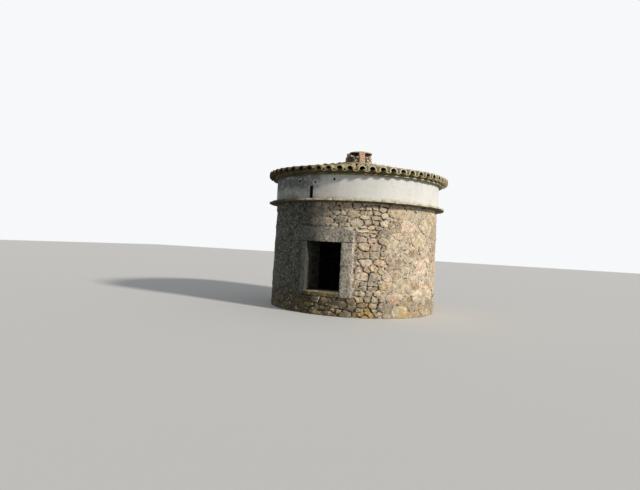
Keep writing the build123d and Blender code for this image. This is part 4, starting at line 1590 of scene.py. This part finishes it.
def build_tiles():
    """Cover and channel tiles, ring by ring from the eave up, in six sectors."""
    settings = bpy.context.scene.dovecote.tiles
    rng = random.Random(settings.seed)
    sectors = [gather("tile") for _ in range(SECTORS)]

    def sector_of(azimuth):
        return sectors[int(azimuth / (2 * pi / SECTORS)) % SECTORS]

    outer_d = EAVE_R
    for count, inner_d, r_low, r_high, courses in TILE_RINGS:
        pitch = 2 * pi / count
        step = (outer_d - inner_d) / courses
        for course in range(courses):
            d = outer_d - step * course
            low = r_low + (r_high - r_low) * course / courses
            top = r_low + (r_high - r_low) * (course + 1) / courses
            last = course == courses - 1
            length = step + (0.0 if last and inner_d < KERB_R else settings.lap)
            thick = settings.thick * (EAVE_THICKER if d == EAVE_R else 1.0)
            for n in range(count):
                azimuth = pitch / 2 + pitch * n
                shy = rng.uniform(0.004, 0.015)
                bm = tile(low * rng.uniform(0.97, 1.02), top - settings.thick * 0.8, length,
                          thick, COVER_ARC, rng.random())
                seat_tile(bm, azimuth + rng.gauss(0, 0.003), d - shy,
                          COVER_RISE + rng.uniform(-0.003, 0.004), rng.gauss(0, 0.03),
                          rng.gauss(0, 0.012))
                stamp(sector_of(azimuth), bm)
                azimuth = pitch * n + 0.002
                bm = tile(CHANNEL_R, CHANNEL_R - CHANNEL_TAPER, length, settings.thick,
                          CHANNEL_ARC, rng.random(), True)
                seat_tile(bm, azimuth + rng.gauss(0, 0.002), d - rng.uniform(0.016, 0.034),
                          CHANNEL_R + rng.uniform(0.0, 0.003), 0.0, rng.gauss(0, 0.01))
                stamp(sector_of(azimuth), bm)
        outer_d = inner_d + RING_LAP
    for n, sector in enumerate(sectors):
        piece(f"roof_tiles_{n + 1}", sector, material("clay_tile"),
              (f"tile_sector_{n + 1}",), sharp=60.0)


def build_plugs():
    """Lumps of mortar that close the channels between the cover tiles at the eave."""
    rng = random.Random(29)
    total = bmesh.new()
    count = TILE_RINGS[0][0]
    for n in range(count):
        # One lump in four has fallen out
        if rng.random() < 0.25:
            continue
        bm = bmesh.new()
        bmesh.ops.create_icosphere(bm, subdivisions=2, radius=1.0)
        for v in bm.verts:
            v.co += noise.noise_vector(v.co * 1.4 + Vector((n, 0, 0))) * 0.28
        width, height = rng.uniform(0.040, 0.056), rng.uniform(0.022, 0.036)
        bmesh.ops.scale(bm, vec=(width, 0.042, height), verts=bm.verts)
        d = EAVE_R - rng.uniform(0.075, 0.105)
        bmesh.ops.translate(bm, vec=(0, -d, lay(d) + 0.030), verts=bm.verts)
        swing(bm, 2 * pi / count * n)
        stamp(total, bm)
    piece("eave_mortar", total, material("eave_mortar"), sharp=60.0)


# Heights of the bedding's two faces over and under the channel tiles' undersides
BED_OVER = 0.040
BED_UNDER = 0.029


def build_bed():
    """The bedding under the tiles, seen as crust in the valleys and mortar at the eave."""
    bm = bmesh.new()
    profile = []
    steps = 24
    for n in range(steps + 1):
        r = KERB_R + (BED_R - KERB_R) * n / steps
        profile.append((r, lay(r) + BED_OVER))
    profile.append((BED_R, CORNICE_TOP_Z + 0.012))
    profile.append((BED_R - 0.02, CORNICE_TOP_Z))
    for n in range(4, -1, -1):
        r = KERB_R + (BED_R - 0.3 - KERB_R) * n / 4
        profile.append((r, lay(r) - BED_UNDER))
    verts = [bm.verts.new(Vector((0, -r, z))) for r, z in profile]
    edges = [bm.edges.new((verts[n], verts[(n + 1) % len(verts)])) for n in range(len(verts))]
    bmesh.ops.spin(bm, geom=verts + edges, cent=(0, 0, 0), axis=(0, 0, 1), angle=2 * pi,
                   steps=240, use_merge=True)
    bmesh.ops.remove_doubles(bm, verts=bm.verts, dist=1e-5)
    for v in bm.verts:
        r = hypot(v.co.x, v.co.y)
        if v.co.z > lay(r) + 0.030 and r < BED_R - 0.01:
            v.co.z += noise.noise(v.co / 0.11) * 0.016 + noise.noise(v.co / 0.035) * 0.007
        elif r > BED_R - 0.01:
            v.co += noise.noise_vector(v.co / 0.06) * 0.006
    piece("roof_bedding", bm, material("roof_crust"), sharp=70.0)


def build_roof():
    """The tiles, the mortar between them at the eave and the bedding under them."""
    build_tiles()
    build_plugs()
    build_bed()


def build_timbers():
    """The timbers and the filling under the roof."""
    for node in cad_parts:
        if node.startswith(("wall_plate", "rafters", "collar", "roof_boards")):
            dress(node, "rough_timber")
        if node == "eave_filling":
            dress(node, "lime_mortar")


# Lantern

BRICK_RISE = 0.060
BRICK_HALF = 0.078
BRICK_JOINT = 0.003
BRICK_CELL = 0.05
BRICK_ARRIS = 0.005
BRICK_ROUGH = 0.005
# Half the arc of the kerb that a column of brick takes
COLUMN_ARC = 0.25
# Stones of the kerb lie this far behind its outer face
KERB_GAP = 0.004
# The cap: height of its rim, its rim's radius over the solid's, and what stays clear of the solid
CAP_RIM = 0.030
CAP_SHRINK = 0.985
CAP_CLEAR = 0.004


def brick_column(total, azimuth, z0, z1, out_low, out_high, rng):
    """Bricks laid on one another at an azimuth, between two heights and two radii."""
    courses = max(1, round((z1 - z0) / BRICK_RISE))
    rise = (z1 - z0) / courses
    for course in range(courses):
        low = z0 + rise * course
        half = BRICK_HALF * rng.uniform(0.88, 1.0)
        face = -out_high + rng.uniform(0.0, 0.008)
        bm = cube(-half, half, face, -out_low, low, low + rise - BRICK_JOINT, BRICK_CELL)
        soften(bm, BRICK_ARRIS)
        roughen(bm.verts, BRICK_CELL, BRICK_ROUGH, rng.uniform(0, 50))
        swing(bm, azimuth)
        stamp(total, bm)


def build_kerb():
    """The lantern's kerb: small rubble between four columns of brick."""
    settings = bpy.context.scene.dovecote.rubble
    rng = random.Random(21)
    columns = [(PIER_AZ + pi / 2 * n + pi) % (2 * pi) - pi for n in range(PIERS)]
    foot = lay(KERB_R) + 0.02
    keep_out = [((a - COLUMN_ARC) * KERB_R, (a + COLUMN_ARC) * KERB_R, foot - 1, foot + 1)
                for a in columns]
    strip = Unrolled(KERB_R, foot, KERB_TOP_Z - KERB_GAP, keep_out)
    counts = [(400, 0.052, 0.070, 0.86, None), (700, 0.026, 0.040, 0.86, None)]
    sites = lay_out(strip, counts, settings.flatness, rng)
    rubble("kerb_stones", strip, sites, settings, lambda z: KERB_R - KERB_GAP,
           lambda azimuth, z: KERB_RELIEF, 1, rng)
    dress("lantern_kerb", "lime_mortar")
    total = bmesh.new()
    for azimuth in columns:
        brick_column(total, azimuth, foot - 0.03, KERB_TOP_Z - 0.002, KERB_R - 0.06,
                     KERB_R + 0.016, rng)
    piece("kerb_bricks", total, material("fired_brick"))


def build_cap():
    """The lantern's cap: one thin round slab with a broken rim, a little crowned."""
    bm = bmesh.new()
    bmesh.ops.create_circle(bm, cap_ends=True, segments=40, radius=CAP_R * CAP_SHRINK)
    bmesh.ops.translate(bm, vec=(0, 0, CAP_LOW_Z), verts=bm.verts)
    top = grow(bm, bm.faces[:][0])
    bmesh.ops.translate(bm, vec=(0, 0, CAP_RIM), verts=top.verts[:])
    crown_rise = CAP_TOP_Z - CAP_LOW_Z - CAP_RIM - CAP_CLEAR
    for share in (0.18, 0.26, 0.30):
        bmesh.ops.inset_individual(bm, faces=[top], thickness=CAP_R * share, depth=0.0,
                                   use_even_offset=True)
        for v in top.verts:
            r = hypot(v.co.x, v.co.y) / CAP_R
            v.co.z = CAP_LOW_Z + CAP_RIM + crown_rise * (1 - r * r)
    for v in bm.verts:
        r = hypot(v.co.x, v.co.y)
        if r > CAP_R * 0.9:
            ragged = noise.noise(Vector((v.co.x * 9.0, v.co.y * 9.0, v.co.z * 12.0))) * 0.022
            v.co.x *= 1 + (min(0.0, ragged) - CAP_CLEAR) / r
            v.co.y *= 1 + (min(0.0, ragged) - CAP_CLEAR) / r
        if v.co.z > CAP_LOW_Z + 0.01:
            v.co.z += min(0.0, noise.noise(v.co / 0.10) * 0.010)
    soften(bm, 0.006, 60.0)
    bmesh.ops.translate(bm, vec=(CAP_MIDDLE.x, CAP_MIDDLE.y, 0), verts=bm.verts)
    piece("cap_stone", bm, material("split_slab"), ("cap_slab",), sharp=45.0)


def build_lantern():
    """The kerb, the four brick piers and the cap."""
    build_kerb()
    rng = random.Random(5)
    total = bmesh.new()
    low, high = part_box("lantern_piers")
    for n in range(PIERS):
        azimuth = PIER_AZ + pi / 2 * n
        brick_column(total, azimuth, low.z, high.z, PIER_INNER_R, PIER_OUTER_R, rng)
    piece("lantern_bricks", total, material("fired_brick"), ("lantern_piers",))
    build_cap()


# Stage

FLOOR_SHOWN = (0.80, 0.80, 0.79)
FLOOR_LIT = (0.36, 0.38, 0.39)
FLOOR_HALF = 60.0
SKY_COLOUR = (0.95, 0.97, 1.0)
BACKGROUND = (0.93, 0.94, 0.95)
KEY_COLOUR = (1.0, 0.96, 0.89)
KEY_ANGLE = radians(6)


def build_floor():
    """A plain floor that looks pale and throws back a lesser light."""
    bm = bmesh.new()
    bmesh.ops.create_grid(bm, x_segments=1, y_segments=1, size=FLOOR_HALF)
    mesh = bpy.data.meshes.new("floor")
    bm.to_mesh(mesh)
    bm.free()
    t = Finish("pale_floor", 0.9)
    t.put(t.shader.inputs["Base Color"], t.blend(t.shown(), FLOOR_LIT, FLOOR_SHOWN))
    mesh.materials.append(t.made)
    floor = bpy.data.objects.new("floor", mesh)
    bpy.context.scene.collection.objects.link(floor)


def build_light(settings):
    """Even light all round with a pale background, and a soft key light from the right."""
    scene = bpy.context.scene
    world = bpy.data.worlds.new("studio")
    world.use_nodes = True
    nodes = world.node_tree.nodes
    nodes.remove(nodes["Background"])
    t = Tree(world.node_tree)
    lit = t.add("ShaderNodeBackground", {"Color": SKY_COLOUR, "Strength": settings.sky})
    plain = t.add("ShaderNodeBackground", {"Color": BACKGROUND, "Strength": 1.0})
    mixed = t.add("ShaderNodeMixShader", {0: t.shown(), 1: lit.outputs[0], 2: plain.outputs[0]})
    t.put(nodes["World Output"].inputs["Surface"], mixed.outputs[0])
    scene.world = world
    lamp = bpy.data.lights.new("key", "SUN")
    lamp.energy = settings.key
    lamp.angle = KEY_ANGLE
    lamp.color = KEY_COLOUR
    key = bpy.data.objects.new("key", lamp)
    height = settings.key_height
    towards = around(CAMERA_AZ + settings.key_azimuth, cos(height), sin(height))
    key.rotation_euler = towards.to_track_quat("Z", "Y").to_euler()
    scene.collection.objects.link(key)


def build_camera(settings):
    """The camera, at eye height in front of the doorway's right side."""
    data = bpy.data.cameras.new("camera")
    data.sensor_width = SENSOR_WIDTH
    data.sensor_fit = "HORIZONTAL"
    data.lens = settings.lens
    camera = bpy.data.objects.new("camera", data)
    right = Vector((cos(CAMERA_YAW), sin(CAMERA_YAW), 0))
    level = Vector((-sin(CAMERA_YAW), cos(CAMERA_YAW), 0))
    ahead = level * cos(CAMERA_PITCH) + Vector((0, 0, 1)) * sin(CAMERA_PITCH)
    up = Vector((0, 0, 1)) * cos(CAMERA_PITCH) - level * sin(CAMERA_PITCH)
    tilted_right = right * cos(CAMERA_ROLL) + up * sin(CAMERA_ROLL)
    tilted_up = up * cos(CAMERA_ROLL) - right * sin(CAMERA_ROLL)
    pose = Matrix((tilted_right, tilted_up, -ahead)).transposed().to_4x4()
    pose = Matrix.Translation((0, -settings.distance, settings.eye)) @ pose
    camera.matrix_world = Matrix.Rotation(CAMERA_AZ, 4, "Z") @ pose
    bpy.context.scene.collection.objects.link(camera)
    bpy.context.scene.camera = camera


def build_stage():
    """The floor, the light and the camera."""
    settings = bpy.context.scene.dovecote.stage
    bpy.context.scene.view_settings.view_transform = "Standard"
    build_floor()
    build_light(settings)
    build_camera(settings)


# Operators


class DOVECOTE_OT_stage(bpy.types.Operator):
    """Sets the floor, light and camera"""

    bl_idname = "dovecote.stage"
    bl_label = "Stage"

    def execute(self, context):
        build_stage()
        return {"FINISHED"}


class DOVECOTE_OT_rubble(bpy.types.Operator):
    """Lays the rubble stones of the wall"""

    bl_idname = "dovecote.rubble"
    bl_label = "Rubble wall"

    def execute(self, context):
        build_rubble()
        return {"FINISHED"}


class DOVECOTE_OT_doorway(bpy.types.Operator):
    """Dresses the doorway's stones"""

    bl_idname = "dovecote.doorway"
    bl_label = "Doorway"

    def execute(self, context):
        build_doorway()
        return {"FINISHED"}


class DOVECOTE_OT_band(bpy.types.Operator):
    """Finishes the plastered band"""

    bl_idname = "dovecote.band"
    bl_label = "Plastered band"

    def execute(self, context):
        build_band()
        return {"FINISHED"}


class DOVECOTE_OT_courses(bpy.types.Operator):
    """Lays the two courses of slabs"""

    bl_idname = "dovecote.courses"
    bl_label = "Slab courses"

    def execute(self, context):
        build_courses()
        return {"FINISHED"}


class DOVECOTE_OT_roof(bpy.types.Operator):
    """Lays the tiles and their bedding"""

    bl_idname = "dovecote.roof"
    bl_label = "Tiled roof"

    def execute(self, context):
        build_roof()
        return {"FINISHED"}


class DOVECOTE_OT_lantern(bpy.types.Operator):
    """Builds the lantern's finish"""

    bl_idname = "dovecote.lantern"
    bl_label = "Lantern"

    def execute(self, context):
        build_lantern()
        return {"FINISHED"}


class DOVECOTE_OT_timbers(bpy.types.Operator):
    """Finishes the timbers inside"""

    bl_idname = "dovecote.timbers"
    bl_label = "Timbers"

    def execute(self, context):
        build_timbers()
        return {"FINISHED"}


OPERATORS = [
    DOVECOTE_OT_stage,
    DOVECOTE_OT_rubble,
    DOVECOTE_OT_doorway,
    DOVECOTE_OT_band,
    DOVECOTE_OT_courses,
    DOVECOTE_OT_roof,
    DOVECOTE_OT_lantern,
    DOVECOTE_OT_timbers,
]


class DOVECOTE_PT_panel(bpy.types.Panel):
    """Lists the steps that dress the dovecote."""

    bl_label = "Stone Dovecote"
    bl_idname = "DOVECOTE_PT_panel"
    bl_space_type = "VIEW_3D"
    bl_region_type = "UI"
    bl_category = "Dovecote"

    def draw(self, context):
        for step in OPERATORS:
            self.layout.operator(step.bl_idname)


CLASSES = [
    RubbleSettings,
    SlabSettings,
    PlasterSettings,
    TileSettings,
    StageSettings,
    DovecoteSettings,
    *OPERATORS,
    DOVECOTE_PT_panel,
]


def register():
    for cls in CLASSES:
        bpy.utils.register_class(cls)
    bpy.types.Scene.dovecote = PointerProperty(type=DovecoteSettings)


def unregister():
    del bpy.types.Scene.dovecote
    for cls in reversed(CLASSES):
        bpy.utils.unregister_class(cls)


def main():
    register()
    bpy.ops.dovecote.stage()
    bpy.ops.dovecote.rubble()
    bpy.ops.dovecote.doorway()
    bpy.ops.dovecote.band()
    bpy.ops.dovecote.courses()
    bpy.ops.dovecote.roof()
    bpy.ops.dovecote.lantern()
    bpy.ops.dovecote.timbers()


if __name__ == "__main__":
    main()
